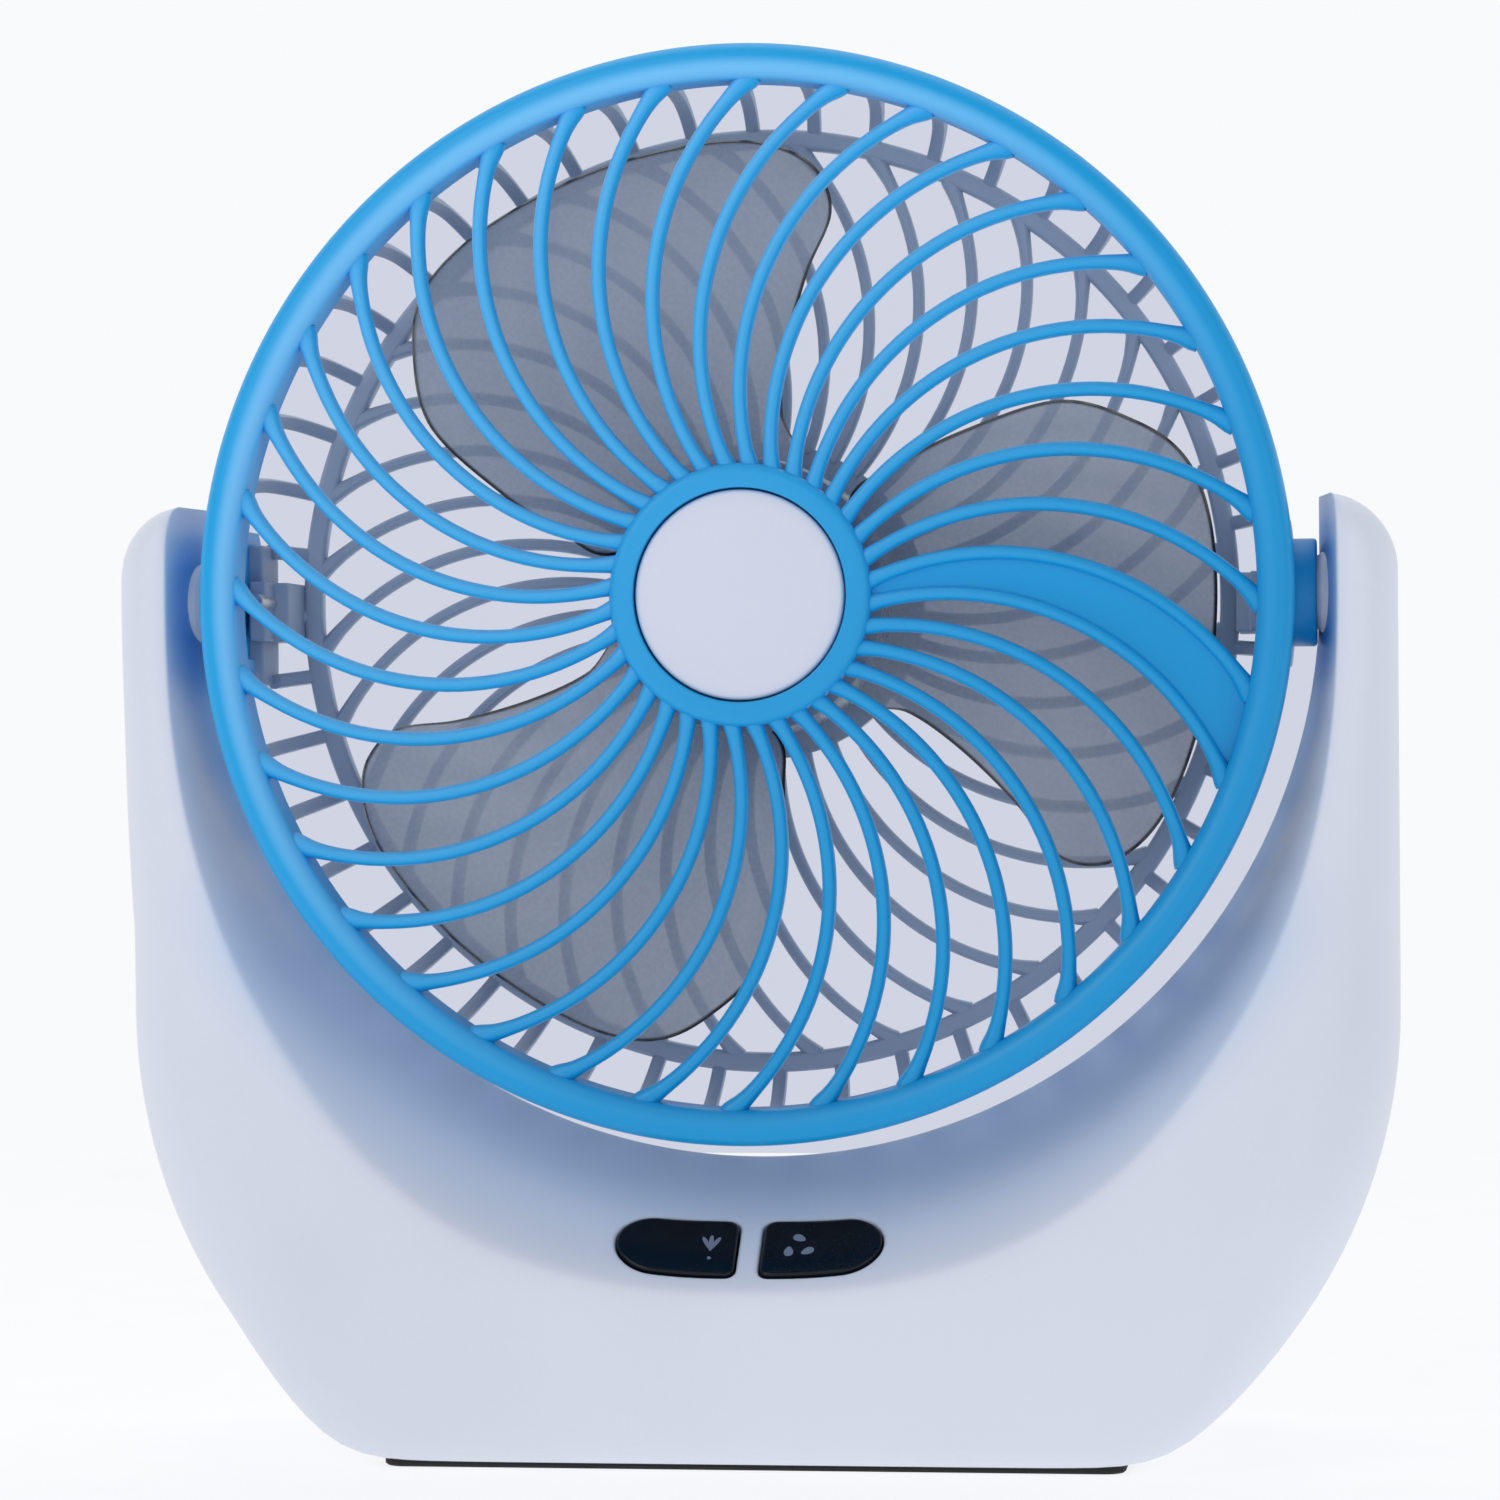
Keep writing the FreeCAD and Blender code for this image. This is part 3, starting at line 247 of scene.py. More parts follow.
def loop_section(points, side, lift, half_w, half_h, around=14, power=2.6):
    """Loops about a path: a superellipse |a/half_w|^power + |b/half_h|^power = 1 at each point,
    with a along side and b along lift."""
    angle = np.linspace(0.0, 2.0 * math.pi, around, endpoint=False)
    ca = np.sign(np.cos(angle)) * np.abs(np.cos(angle)) ** (2.0 / power)
    sa = np.sign(np.sin(angle)) * np.abs(np.sin(angle)) ** (2.0 / power)
    half_w = np.broadcast_to(half_w, points.shape[:1])
    half_h = np.broadcast_to(half_h, points.shape[:1])
    return (points[:, None, :] + side[:, None, :] * (half_w[:, None] * ca)[..., None]
            + lift[:, None, :] * (half_h[:, None] * sa)[..., None])


def smooth_max(a, b, k):
    """The larger of two values, the change-over rounded by k."""
    return 0.5 * (a + b + np.sqrt((a - b) ** 2 + k * k))


def smooth_min(a, b, k):
    """The smaller of two values, the change-over rounded by k."""
    return 0.5 * (a + b - np.sqrt((a - b) ** 2 + k * k))


def step_between(low, high, value):
    """0 at low and 1 at high (which may be the smaller), eased at both: w^2 (3 - 2 w)."""
    w = np.clip((value - low) / (high - low), 0.0, 1.0)
    return w * w * (3.0 - 2.0 * w)


# ------------------------------------------------------------------------------ materials

class Val:
    """A number or colour inside a material. Arithmetic on it makes the nodes."""

    def __init__(self, paint, socket):
        self.paint = paint
        self.socket = socket

    def maths(self, kind, *others):
        """The result of a math node with this value as its first input."""
        return self.paint.node("ShaderNodeMath", {0: self, **{i + 1: o for i, o in enumerate(others)}},
                               operation=kind)

    def __add__(self, other):
        return self.maths("ADD", other)

    def __sub__(self, other):
        return self.maths("SUBTRACT", other)

    def __mul__(self, other):
        return self.maths("MULTIPLY", other)

    def between(self, low, high, to_low=0.0, to_high=1.0):
        """This value carried smoothly from one range to another."""
        return self.paint.node("ShaderNodeMapRange",
                               {"Value": self, "From Min": low, "From Max": high,
                                "To Min": to_low, "To Max": to_high},
                               interpolation_type="SMOOTHSTEP")

    def mix(self, a, b):
        """Colour a where this is 0, colour b where it is 1."""
        return self.paint.node("ShaderNodeMix", {0: self, 6: a, 7: b}, out=2, data_type="RGBA")


class Paint:
    """One procedural material."""

    def __init__(self, name):
        self.material = bpy.data.materials.new(name)
        self.material.use_nodes = True
        self.tree = self.material.node_tree
        self.tree.nodes.clear()

    def node(self, kind, inputs=None, out=0, **settings):
        """A new node with its settings and inputs, values linked and constants set."""
        made = self.tree.nodes.new(kind)
        for key, value in settings.items():
            setattr(made, key, value)
        for key, value in (inputs or {}).items():
            if isinstance(value, Val):
                self.tree.links.new(value.socket, made.inputs[key])
            else:
                made.inputs[key].default_value = value
        return Val(self, made.outputs[out])

    def place(self):
        """The object's own coordinates, in metres."""
        return self.node("ShaderNodeTexCoord", out="Object")

    def noise(self, scale, detail=3.0, rough=0.5):
        """A cloudy pattern from 0 to 1; scale counts its clouds in a metre."""
        return self.node("ShaderNodeTexNoise", {"Vector": self.place(), "Scale": scale,
                                                "Detail": detail, "Roughness": rough})

    def own(self, name):
        """A mark of the mesh's own; 0 on a mesh without it."""
        return self.node("ShaderNodeAttribute", out="Fac", attribute_name=name)

    def axis(self, which):
        """One of the object's coordinates, in metres."""
        split = self.tree.nodes.new("ShaderNodeSeparateXYZ")
        self.tree.links.new(self.place().socket, split.inputs[0])
        return Val(self, split.outputs[which])

    def finish(self, colour, rough, bump=None, bump_depth=0.00002, **constants):
        """The shader and its output; the material is returned."""
        inputs = {"Base Color": colour, "Roughness": rough}
        if bump is not None:
            inputs["Normal"] = self.node("ShaderNodeBump", {"Height": bump, "Distance": bump_depth,
                                                            "Strength": 1.0})
        shader = self.node("ShaderNodeBsdfPrincipled", inputs)
        principled = shader.socket.node
        for key, value in constants.items():
            name = key.replace("_", " ")
            if isinstance(value, Val):
                self.tree.links.new(value.socket, principled.inputs[name])
            else:
                principled.inputs[name].default_value = value
        result = self.tree.nodes.new("ShaderNodeOutputMaterial")
        self.tree.links.new(shader.socket, result.inputs["Surface"])
        return self.material


def linear(red, green, blue):
    """A display colour, 0 to 255, as linear light."""
    out = []
    for v in (red, green, blue):
        v = v / 255.0
        out.append(v / 12.92 if v <= 0.04045 else ((v + 0.055) / 1.055) ** 2.4)
    return (*out, 1.0)


def shade(colour, share):
    """A colour made darker or lighter, its last number kept at 1."""
    return (*(c * share for c in colour[:3]), 1.0)


def painted_head_bounce(paint):
    """Painted reflected light: how strongly the blue head's bounce is painted into the white plastic, most
    beside the pivots and on the slope.
    """
    x = paint.axis(0)
    z = paint.axis(2)
    up = z - PIVOT_Z * MM
    radius = (x * x + up * up).maths("SQRT")
    slope = paint.axis(1).between(-0.013, -0.011, 1.0, 0.0)
    beside = z.between(0.070, 0.128) * z.between(0.143, 0.156, 1.0, 0.3)
    below = z.between(0.078, 0.100, 1.0, 0.0) * radius.between(0.0900, 0.1120, 0.36, 0.0)
    return slope * (beside * radius.between(0.0918, 0.0942, 0.84, 0.0) + below)


def moulded(name, colour, rough=0.4, depth=0.03, painted_bounce=False, painted_light_sweep=None, **constants):
    """Moulded plastic: soft flow marks in its tone, a fine spark-eroded grain, uneven gloss.

    A second colour, if given, is painted light: it takes over towards the upper left, as if lit from there,
    with a paler painted highlight band where the mesh's lit mark is 1. The head's blue can be painted in as
    reflected light.
    """
    paint = Paint(name)
    flow = paint.noise(14.0, 2.0)
    fine = paint.noise(1300.0, 3.0, 0.6)
    grain = paint.noise(3200.0, 2.0, 0.55)
    tone = flow * 0.85 + fine * 0.15
    hue = tone.between(0.35, 0.65).mix(shade(colour, 0.97), shade(colour, 1.02))
    if painted_light_sweep:
        # painted light: the colour turns lighter towards the upper left, as if lit from there
        across = paint.axis(2) - paint.axis(0)
        hue = across.between(PIVOT_Z * MM - 0.105, PIVOT_Z * MM + 0.105).mix(hue, painted_light_sweep)
        # painted highlight: a paler band where the mesh's lit mark is high, strongest towards the upper
        # left
        band = across.between(PIVOT_Z * MM - 0.080, PIVOT_Z * MM + 0.110, 0.10, 1.0)
        hue = (paint.own("lit") * band * 0.75).mix(hue, linear(128, 204, 255))
    if painted_bounce:
        # painted reflected light: the blue head's bounce is mixed into the colour by the mask above
        hue = painted_head_bounce(paint).mix(hue, linear(46, 164, 234))
    gloss = (flow * 0.5 + fine * 0.5).between(0.3, 0.7, rough - 0.05, rough + 0.06)
    return paint.finish(hue, gloss, bump=grain * 0.6 + fine * 0.4, bump_depth=depth * MM, **constants)


def metal(name, colour, rough=0.3, scale=700.0):
    """Plated or turned metal: faint clouding and fine scuffs."""
    paint = Paint(name)
    cloud = paint.noise(120.0, 3.0)
    scuff = paint.noise(scale * 3.0, 4.0, 0.7)
    hue = (cloud * 0.6 + scuff * 0.4).between(0.35, 0.65).mix(shade(colour, 0.82), shade(colour, 1.08))
    gloss = scuff.between(0.3, 0.7, rough - 0.06, rough + 0.14)
    return paint.finish(hue, gloss, bump=scuff, bump_depth=0.006 * MM, Metallic=1.0)


def smoke_clear(name):
    """Smoke-tinted clear plastic with a painted dark rim: near-black and less clear where the mesh's edge
    mark (the distance in from a blade's edge) is small, standing in for the shade of a blade's edge seen
    edge on.
    """
    paint = Paint(name)
    edge = paint.own("edge").between(0.3, 0.85)
    cloud = paint.noise(30.0, 2.0)
    fine = paint.noise(1200.0, 2.0)
    body = cloud.between(0.3, 0.7).mix(linear(160, 168, 182), linear(174, 181, 193))
    # painted shade: the blades' border is coloured near-black and made more opaque
    hue = edge.mix((0.004, 0.004, 0.005, 1.0), body)
    clear = edge.between(0.0, 1.0, 1.0, 0.0) * 0.33 + cloud.between(0.3, 0.7, 0.65, 0.69)
    gloss = fine.between(0.3, 0.7, 0.22, 0.32)
    return paint.finish(hue, gloss, bump=fine, bump_depth=0.004 * MM, Alpha=clear)


def board_green(name):
    """Green solder mask over a faint glass weave."""
    paint = Paint(name)
    weave = paint.noise(1500.0, 2.0)
    cloud = paint.noise(90.0, 2.0)
    hue = (weave * 0.5 + cloud * 0.5).between(0.35, 0.65).mix((0.01, 0.10, 0.035, 1), (0.02, 0.19, 0.07, 1))
    return paint.finish(hue, weave.between(0.3, 0.7, 0.25, 0.4), bump=weave, bump_depth=0.02 * MM,
                        Coat_Weight=0.4)


# the white shell carries painted reflected light: the head's blue is painted in beside the pivots and on
# the slope
WHITE = moulded("white_shell", linear(221, 226, 239), 0.42, 0.01, painted_bounce=True)
CAP_WHITE = moulded("white_cap", linear(214, 220, 236), 0.46, 0.01)
# the second, lighter blue is painted light towards the upper left, and the lit mark adds a painted
# highlight
BLUE = moulded("blue_gloss", linear(2, 150, 214), 0.38, 0.003, painted_light_sweep=linear(30, 166, 232),
               Specular_IOR_Level=0.32)
# painted shade: the basket's plastic is darkened to blue-grey for the shade inside the head, and the motor
# cover takes the same
SHADED_SLATE = moulded("grey_basket", linear(156, 172, 196), 0.5, 0.01)
BLACK = moulded("black_gloss", linear(2, 9, 20), 0.24, 0.003, Specular_IOR_Level=0.3)
ICON = moulded("icon_print", linear(112, 124, 148), 0.45, 0.01)
RUBBER = moulded("black_rubber", (0.012, 0.012, 0.013, 1.0), 0.8, 0.08)
MILK = moulded("milky_diffuser", linear(238, 238, 232), 0.35, 0.02, Subsurface_Weight=0.1)
NYLON = moulded("natural_nylon", linear(228, 232, 238), 0.5, 0.01)
FERRITE = moulded("dark_ferrite", linear(62, 62, 66), 0.6, 0.05)
SLEEVE = moulded("cell_sleeve", linear(38, 92, 158), 0.3, 0.02)
PHOSPHOR = moulded("led_phosphor", linear(240, 208, 110), 0.5, 0.03)
NICKEL = metal("nickel_strip", linear(205, 203, 196), 0.28)
ZINC = metal("zinc_steel", linear(200, 202, 208), 0.3)
BRONZE = metal("sintered_bronze", linear(176, 138, 88), 0.45, 400.0)
SMOKE = smoke_clear("smoke_clear")
BOARD = board_green("circuit_board")

CARRIED = {
    "shell_screws": ZINC, "led_board": BOARD, "led_chips": PHOSPHOR, "battery_tray": NYLON,
    "battery_cell": SLEEVE, "battery_clips": NICKEL, "charge_board": BOARD, "usb_socket": NICKEL,
    "charge_lens": MILK, "control_board": BOARD, "fan_switch": BLACK, "light_switch": BLACK,
    "head_screws": ZINC, "pivot_washers": NYLON, "pivot_screws": ZINC, "motor_can": NICKEL,
    "motor_magnets": FERRITE, "motor_end_cap": NYLON, "motor_bushes": BRONZE, "motor_screws": ZINC,
    "motor_cover": SHADED_SLATE, "motor_shaft": ZINC, "armature_core": FERRITE, "commutator": BRONZE,
}
for node, material in CARRIED.items():
    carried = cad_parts[node]
    carried.data.materials.clear()
    carried.data.materials.append(material)


# ------------------------------------------------------------------------------ front grille

def spoke_angle(radius):
    """Polar angle at which the first spoke's arc crosses a radius, from the law of cosines."""
    cosine = (radius ** 2 + SPOKE_ARC_OUT ** 2 - SPOKE_ARC_R ** 2) / (2.0 * radius * SPOKE_ARC_OUT)
    return math.radians(SPOKE_ARC_DEG) + np.arccos(cosine)


def plan_sides(points):
    """Unit vectors across a path in the head's plane, from its own direction."""
    along = np.gradient(points, axis=0)
    along[:, 1] = 0.0
    along /= np.linalg.norm(along, axis=1)[:, None]
    return np.stack([along[:, 2], np.zeros(len(points)), -along[:, 0]], axis=-1)


def spoke_rows():
    """One swirling spoke, rounded in section, its width flaring into the ring and the hub."""
    radius = np.concatenate([np.linspace(HUB_R - 0.9, HUB_R + 3.0, 7),
                             np.linspace(HUB_R + 4.5, RING_IN - 6.0, 26),
                             np.linspace(RING_IN - 5.0, RING_IN + 1.0, 10)])
    flare = 0.7 * np.exp(-(RING_IN - radius).clip(0.0) / 1.4)
    flare += 0.35 * np.exp(-(radius - HUB_R).clip(0.0) / 1.6)
    half_w = 1.14 + flare
    rise = 0.5 * step_between(RING_IN - 5.0, RING_IN, radius)
    front = SPOKE_FRONT - rise
    path = head_point(radius, spoke_angle(radius), 0.5 * (front + SPOKE_BACK))
    side = plan_sides(path)
    lift = np.broadcast_to(np.array([0.0, 1.0, 0.0]), side.shape)
    return loop_section(path, side, lift, half_w, 0.5 * (SPOKE_BACK - front), 16, 2.3)


def panel_rows():
    """The filled cell: a thin sheet between the first two spokes, slightly hollow in front."""
    radius = np.linspace(HUB_R - 0.5, RING_IN + 0.6, 40)
    share = np.linspace(0.0, 1.0, 11)
    pitch = 2.0 * math.pi / SPOKES
    angle = spoke_angle(radius)[:, None] + pitch * share[None, :]
    hollow = 0.35 * np.sin(math.pi * share)[None, :] * np.sin(math.pi * np.linspace(0, 1, 40))[:, None]
    front = head_point(radius[:, None], angle, PANEL_FRONT + hollow)
    back = head_point(radius[:, None], angle[:, ::-1], PANEL_BACK)
    return np.concatenate([front, back], axis=1)


def ring_profile():
    """The ring's section: a round nose in front of straight walls, its back edges eased."""
    nose = np.linspace(math.pi, 0.0, 17)
    middle = 0.5 * (RING_R + RING_IN)
    half = 0.5 * (RING_R - RING_IN)
    front = np.stack([middle - half * np.cos(nose), 3.3 - 3.3 * np.sin(nose) ** 0.9], axis=-1)
    back = np.array([[RING_IN, RING_DEPTH - 0.5], [RING_IN + 0.5, RING_DEPTH],
                     [RING_R - 0.5, RING_DEPTH], [RING_R, RING_DEPTH - 0.5]])
    return np.concatenate([front, back])


def box_rows(x0, x1, d0, d1, z0, z1, radius=0.5):
    """A block along X with rounded long edges and eased ends."""
    corners = rounded([(d0, z0), (d1, z0), (d1, z1), (d0, z1)], radius, 4)
    middle = corners.mean(axis=0)
    ease = min(0.3, 0.2 * abs(x1 - x0))
    way = 1.0 if x1 > x0 else -1.0
    rows = []
    for x, inset in ((x0, ease), (x0 + way * ease, 0.0), (x1 - way * ease, 0.0), (x1, ease)):
        span = np.abs(corners - middle).max(axis=0)
        ring = middle + (corners - middle) * (1.0 - inset / span)
        rows.append(place(x, ring[:, 0], ring[:, 1]))
    return np.array(rows)


def disc_rows(x0, x1, radius, ease=0.4, steps=64):
    """A short cylinder along X about the tilt axis, with eased edges."""
    angle = np.linspace(0.0, 2.0 * math.pi, steps, endpoint=False)
    way = 1.0 if x1 > x0 else -1.0
    rows = []
    for x, r in ((x0, radius - ease), (x0 + way * 0.3 * ease, radius - 0.3 * ease),
                 (x0 + way * ease, radius), (x1 - way * ease, radius),
                 (x1 - way * 0.3 * ease, radius - 0.3 * ease), (x1, radius - ease)):
        rows.append(place(x, PIVOT_DEPTH + r * np.cos(angle), PIVOT_Z + r * np.sin(angle)))
    return np.array(rows)


def ear_rows(side):
    """The curved plate behind the ring that carries the pivot: an arc of the ring's own wall."""
    height = np.linspace(-EAR_HALF, EAR_HALF, 17)
    past = (np.abs(height) - (EAR_HALF - EAR_ROUND)).clip(0.0, EAR_ROUND) / EAR_ROUND
    corner = 2.4 * (1.0 - np.sqrt(1.0 - past ** 2))
    rows = []
    for h, inset in zip(height, corner):
        back = EAR_BACK - inset
        outline = rounded([(EAR_OUT, EAR_FRONT), (EAR_OUT, back), (EAR_IN, back), (EAR_IN, EAR_FRONT)],
                          [0.0, 0.7, 0.7, 0.0], 3)
        angle = np.arcsin(h / outline[:, 0])
        rows.append(place(side * outline[:, 0] * np.cos(angle), outline[:, 1], PIVOT_Z + h))
    return np.array(rows)


def build_front_grille():
    """The blue ring, hub, spokes and filled cell, and the lug behind the ring on each side.

    The lit mark is a painted highlight: 1 on the ring's inner shoulder and on each spoke's upper left side,
    0.15 on the hub ring.
    """
    skin = Skin()
    profile = ring_profile()
    # painted highlight mark on the ring's inner shoulder near its nose
    inner = (0.5 * (RING_R + RING_IN) + 0.6 - profile[:, 0]) / 1.5
    nose = (1.0 - (profile[:, 1] - 1.5) / 1.4).clip(0.0, 1.0)
    revolve(skin, profile, 288, closed=True, mark=(inner.clip(0.0, 1.0) * nose)[:, None])
    hub = rounded([(HUB_R, 7.0), (HUB_R, 1.6), (16.95, 1.6), (16.9, 5.6)], [0.4, 1.5, 0.35, 0.0], 6)
    # a faint painted highlight mark on the hub ring
    revolve(skin, np.concatenate([[(0.0, 7.0)], hub, [(0.0, 5.6)]]), 144, mark=0.15)
    first = spoke_rows()
    for i in range(SPOKES):
        rows = turned(first, 2.0 * math.pi * i / SPOKES)
        ray = rows - rows.mean(axis=1, keepdims=True)
        ray /= np.linalg.norm(ray, axis=-1, keepdims=True)
        # painted highlight mark on the side of each spoke that faces up and to the left
        lit = (ray[..., 2] * 0.8 - ray[..., 0] * 0.45 - ray[..., 1] * 0.55 - 0.15).clip(0.0, 1.0)
        skin.tube(rows, mark=lit)
    skin.tube(panel_rows(), mark=0.0)
    for side in (-1.0, 1.0):
        skin.tube(ear_rows(side), mark=0.0)
        skin.tube(box_rows(side * 82.4, side * 84.8, 10.5, 21.8, PIVOT_Z - 11.6, PIVOT_Z - 9.0, 0.5),
                  mark=0.0)
        skin.tube(disc_rows(side * 83.8, side * (89.3 + 0.9 * side), 8.6, 0.5), mark=0.0)
        skin.tube(disc_rows(side * 89.2, side * 95.0, 4.4, 0.3), mark=0.0)
    return skin.piece("front_grille_skin", BLUE, "head", GRILLE_NODES, mark="lit")


def build_hub_cap():
    """The white disc in the hub ring."""
    skin = Skin()
    dome = [(r, 2.0 + 0.28 * (r / CAP_R) ** 2) for r in np.linspace(0.0, CAP_R - 0.7, 9)]
    edge = [(CAP_R - 0.25, 2.45), (CAP_R, 2.85), (CAP_R, 4.3), (CAP_R - 0.3, 4.6), (0.0, 4.6)]
    revolve(skin, dome + edge, 144)
    return skin.piece("hub_cap_skin", CAP_WHITE, "head", ["hub_cap"])


# ------------------------------------------------------------------------------ rear basket

def rear_rib_rows():
    """One rib of the back, one arc bent the other way from the front spokes."""
    arc_r, out = 43.2, 52.0
    radius = np.linspace(REAR_HUB_R - 0.8, MID_RING_R - MID_RING_W + 0.8, 30)
    cosine = (radius ** 2 + out ** 2 - arc_r ** 2) / (2.0 * radius * out)
    angle = 0.5 * math.pi - np.arccos(cosine)
    path = head_point(radius, angle, 0.5 * (MID_FRONT + BASKET_BACK))
    side = plan_sides(path)
    lift = np.broadcast_to(np.array([0.0, 1.0, 0.0]), side.shape)
    flare = 0.5 * np.exp(-(MID_RING_R - MID_RING_W - radius).clip(0.0) / 1.5)
    return loop_section(path, side, lift, 1.0 + flare, 1.7, 10, 2.6)


def side_rib_rows():
    """One rib of the side, from the rim over a round shoulder to the middle ring.

    Its radius falls as 1.8 s + 6 s^5 with s from 0 at the rim to 1 at the middle ring.
    """
    s = np.linspace(0.0, 1.0, 16)
    depth = 12.4 + (BASKET_BACK - 1.4 - 12.4) * s
    radius = 84.8 - 1.4 * s - 6.9 * s ** 5
    along = np.stack([np.gradient(radius), np.gradient(depth)], axis=-1)
    along /= np.linalg.norm(along, axis=1)[:, None]
    swirl = math.radians(1.2) * (1.0 - s) ** 2
    path = head_point(radius, swirl, depth)
    lift = np.stack([along[:, 1], -along[:, 0], np.zeros(len(s))], axis=-1)
    side = np.broadcast_to(np.array([0.0, 0.0, 1.0]), lift.shape)
    return loop_section(path, side, lift, 1.2, 1.35, 10, 2.8)


def build_rear_grille():
    """The basket: rim, side ribs, middle ring, swirl ribs, hub plate and the pivots' blocks."""
    skin = Skin()
    revolve(skin, rounded([(83.4, 10.1), (86.2, 10.1), (86.2, 13.0), (83.4, 13.0)], 0.4, 3), 240,
            closed=True)
    inner = MID_RING_R - MID_RING_W
    revolve(skin, rounded([(inner, MID_FRONT), (MID_RING_R, MID_FRONT), (MID_RING_R, BASKET_BACK),
                           (inner, BASKET_BACK)], 0.8, 4), 240, closed=True)
    disc = rounded([(REAR_HUB_R, 37.0), (REAR_HUB_R, BASKET_BACK)], 0.0)
    revolve(skin, np.concatenate([[(0.0, 37.0)], disc, [(0.0, BASKET_BACK)]]), 96)
    first = rear_rib_rows()
    for i in range(REAR_RIBS):
        skin.tube(turned(first, 2.0 * math.pi * i / REAR_RIBS))
    first = side_rib_rows()
    for i in range(SIDE_RIBS):
        beside = abs((i + SIDE_RIBS // 4) % (SIDE_RIBS // 2) - SIDE_RIBS // 4) < 2
        skin.tube(turned(first[11:] if beside else first,
                         2.0 * math.pi * i / SIDE_RIBS + math.radians(1.3)))
    for side in (-1.0, 1.0):
        # these pivot blocks take the basket's painted-shade blue-grey, as they lie in shade
        skin.tube(box_rows(side * 77.3, side * 82.4, 24.0, 39.5, PIVOT_Z - 6.2, PIVOT_Z + 3.4, 0.6))
        skin.tube(box_rows(side * 81.6, side * 84.1, 24.4, 36.2, PIVOT_Z - 13.4, PIVOT_Z + 9.6, 0.5))
        skin.tube(box_rows(side * 79.6, side * 82.4, 17.6, 24.6, PIVOT_Z - 6.2, PIVOT_Z + 3.4, 0.6))
    return skin.piece("rear_basket_skin", SHADED_SLATE, "head", BASKET_NODES)


# ------------------------------------------------------------------------------ impeller

BLADE_OUTLINE = [(14.5, 17.0), (21.0, 23.3), (31.0, 30.0), (45.8, 36.6), (58.2, 34.8), (66.4, 30.2),
                 (71.3, 21.6), (73.9, 9.0), (74.3, -5.0), (72.3, -18.0), (69.2, -27.5), (64.8, -33.6),
                 (59.4, -36.6), (52.6, -35.6), (45.3, -28.2), (35.5, -20.6), (26.3, -15.6),
                 (17.4, -14.1), (15.0, 1.0)]


def even(outline, step):
    """A closed outline's points spread evenly, about a step apart."""
    ahead = np.concatenate([outline, outline[:1]])
    length = np.concatenate([[0.0], np.cumsum(np.linalg.norm(np.diff(ahead, axis=0), axis=1))])
    spots = np.linspace(0.0, length[-1], int(length[-1] / step), endpoint=False)
    return np.stack([np.interp(spots, length, ahead[:, k]) for k in range(2)], axis=-1)


def closed_curve(corners, steps):
    """A smooth closed curve through points given round it (Catmull-Rom)."""
    p = np.asarray(corners, float)
    n = len(p)
    t = np.linspace(0.0, n, steps, endpoint=False)
    i = t.astype(int)
    w = (t - i)[:, None]
    a, b, c, d = p[i - 1], p[i % n], p[(i + 1) % n], p[(i + 2) % n]
    return 0.5 * (2 * b + (c - a) * w + (2 * a - 5 * b + 4 * c - d) * w ** 2
                  + (3 * b - a - 3 * c + d) * w ** 3)


def blade_depth(u, v):
    """A helical sheet: depth falls with the angle across the blade, and the middle bows back."""
    angle = np.arctan2(v, u)
    return 22.6 - 10.5 * angle - 1.2 * (angle / 0.6) ** 2


def build_impeller():
    """The three-bladed wheel. The edge mark holds each point's distance in from a blade's edge."""
    skin = Skin()
    outline = closed_curve(BLADE_OUTLINE, 180)
    centre = np.array([46.0, 0.0])
    reach = np.linalg.norm(outline - centre, axis=1)
    gaps = np.array([0.0, 0.35, 0.8, 1.6, 3.5, 7.0, 12.0, 18.0, 24.0])
    share = 1.0 - gaps[:, None] / reach[None, :]
    share = np.maximum(share, 0.12 * (1.0 - gaps[:, None] / 40.0))
    flat = centre + (outline - centre)[None] * share[..., None]
    u, v = flat[..., 0], flat[..., 1]
    depth = blade_depth(u, v)
    half_t = 0.7 * np.sqrt(1.0 - (1.0 - (gaps / 0.7).clip(0.0, 1.0)) ** 2)[:, None]
    edge = np.broadcast_to(gaps[:, None], u.shape)
    bearing = math.radians(BLADE_FIRST)
    middle = place(centre[0], blade_depth(*centre), PIVOT_Z + centre[1])
    for i in range(BLADES):
        angle = bearing + 2.0 * math.pi * i / BLADES
        front = turned(place(u, depth - half_t, PIVOT_Z + v), angle)
        back = turned(place(u, depth + half_t, PIVOT_Z + v), angle)
        ids = skin.add(front, edge)
        other = skin.add(back[1:], edge[1:])
        skin.stitch(ids, around=True)
        skin.stitch(np.concatenate([ids[:1], other]), around=True)
        skin.fan(ids[-1], turned(middle - [0, 0.7, 0], angle), 20.0)
        skin.fan(other[-1], turned(middle + [0, 0.7, 0], angle), 20.0)
    cup = np.array([(0.0, 10.5), (20.8, 10.5), (21.9, 10.9), (22.3, 12.0), (22.3, 33.0), (20.5, 33.0),
                    (20.5, 12.4), (0.0, 12.4)])
    revolve(skin, cup, 96, mark=2.0)
    # the edge mark drives the blades' painted dark rim
    return skin.piece("impeller_skin", SMOKE, "rotor", ["impeller"], mark="edge")


# ------------------------------------------------------------------------------ base skins

def front_face(z):
    """Depth of the base's front: a flat arm, a belly that swells forward, a foot that goes back."""
    up = np.clip((80.0 - z) / 54.0, 0.0, 1.0) ** 1.25
    belly = 6.0 - 4.5 * up * up * (3.0 - 2.0 * up)
    down = np.clip((26.0 - z) / 25.0, 0.0, 1.0)
    top = np.clip((z - 145.8) / 8.7, 0.0, 1.0)
    return belly + 3.5 * down ** 2.66 + 6.0 * (1.0 - np.sqrt(1.0 - top ** 2))


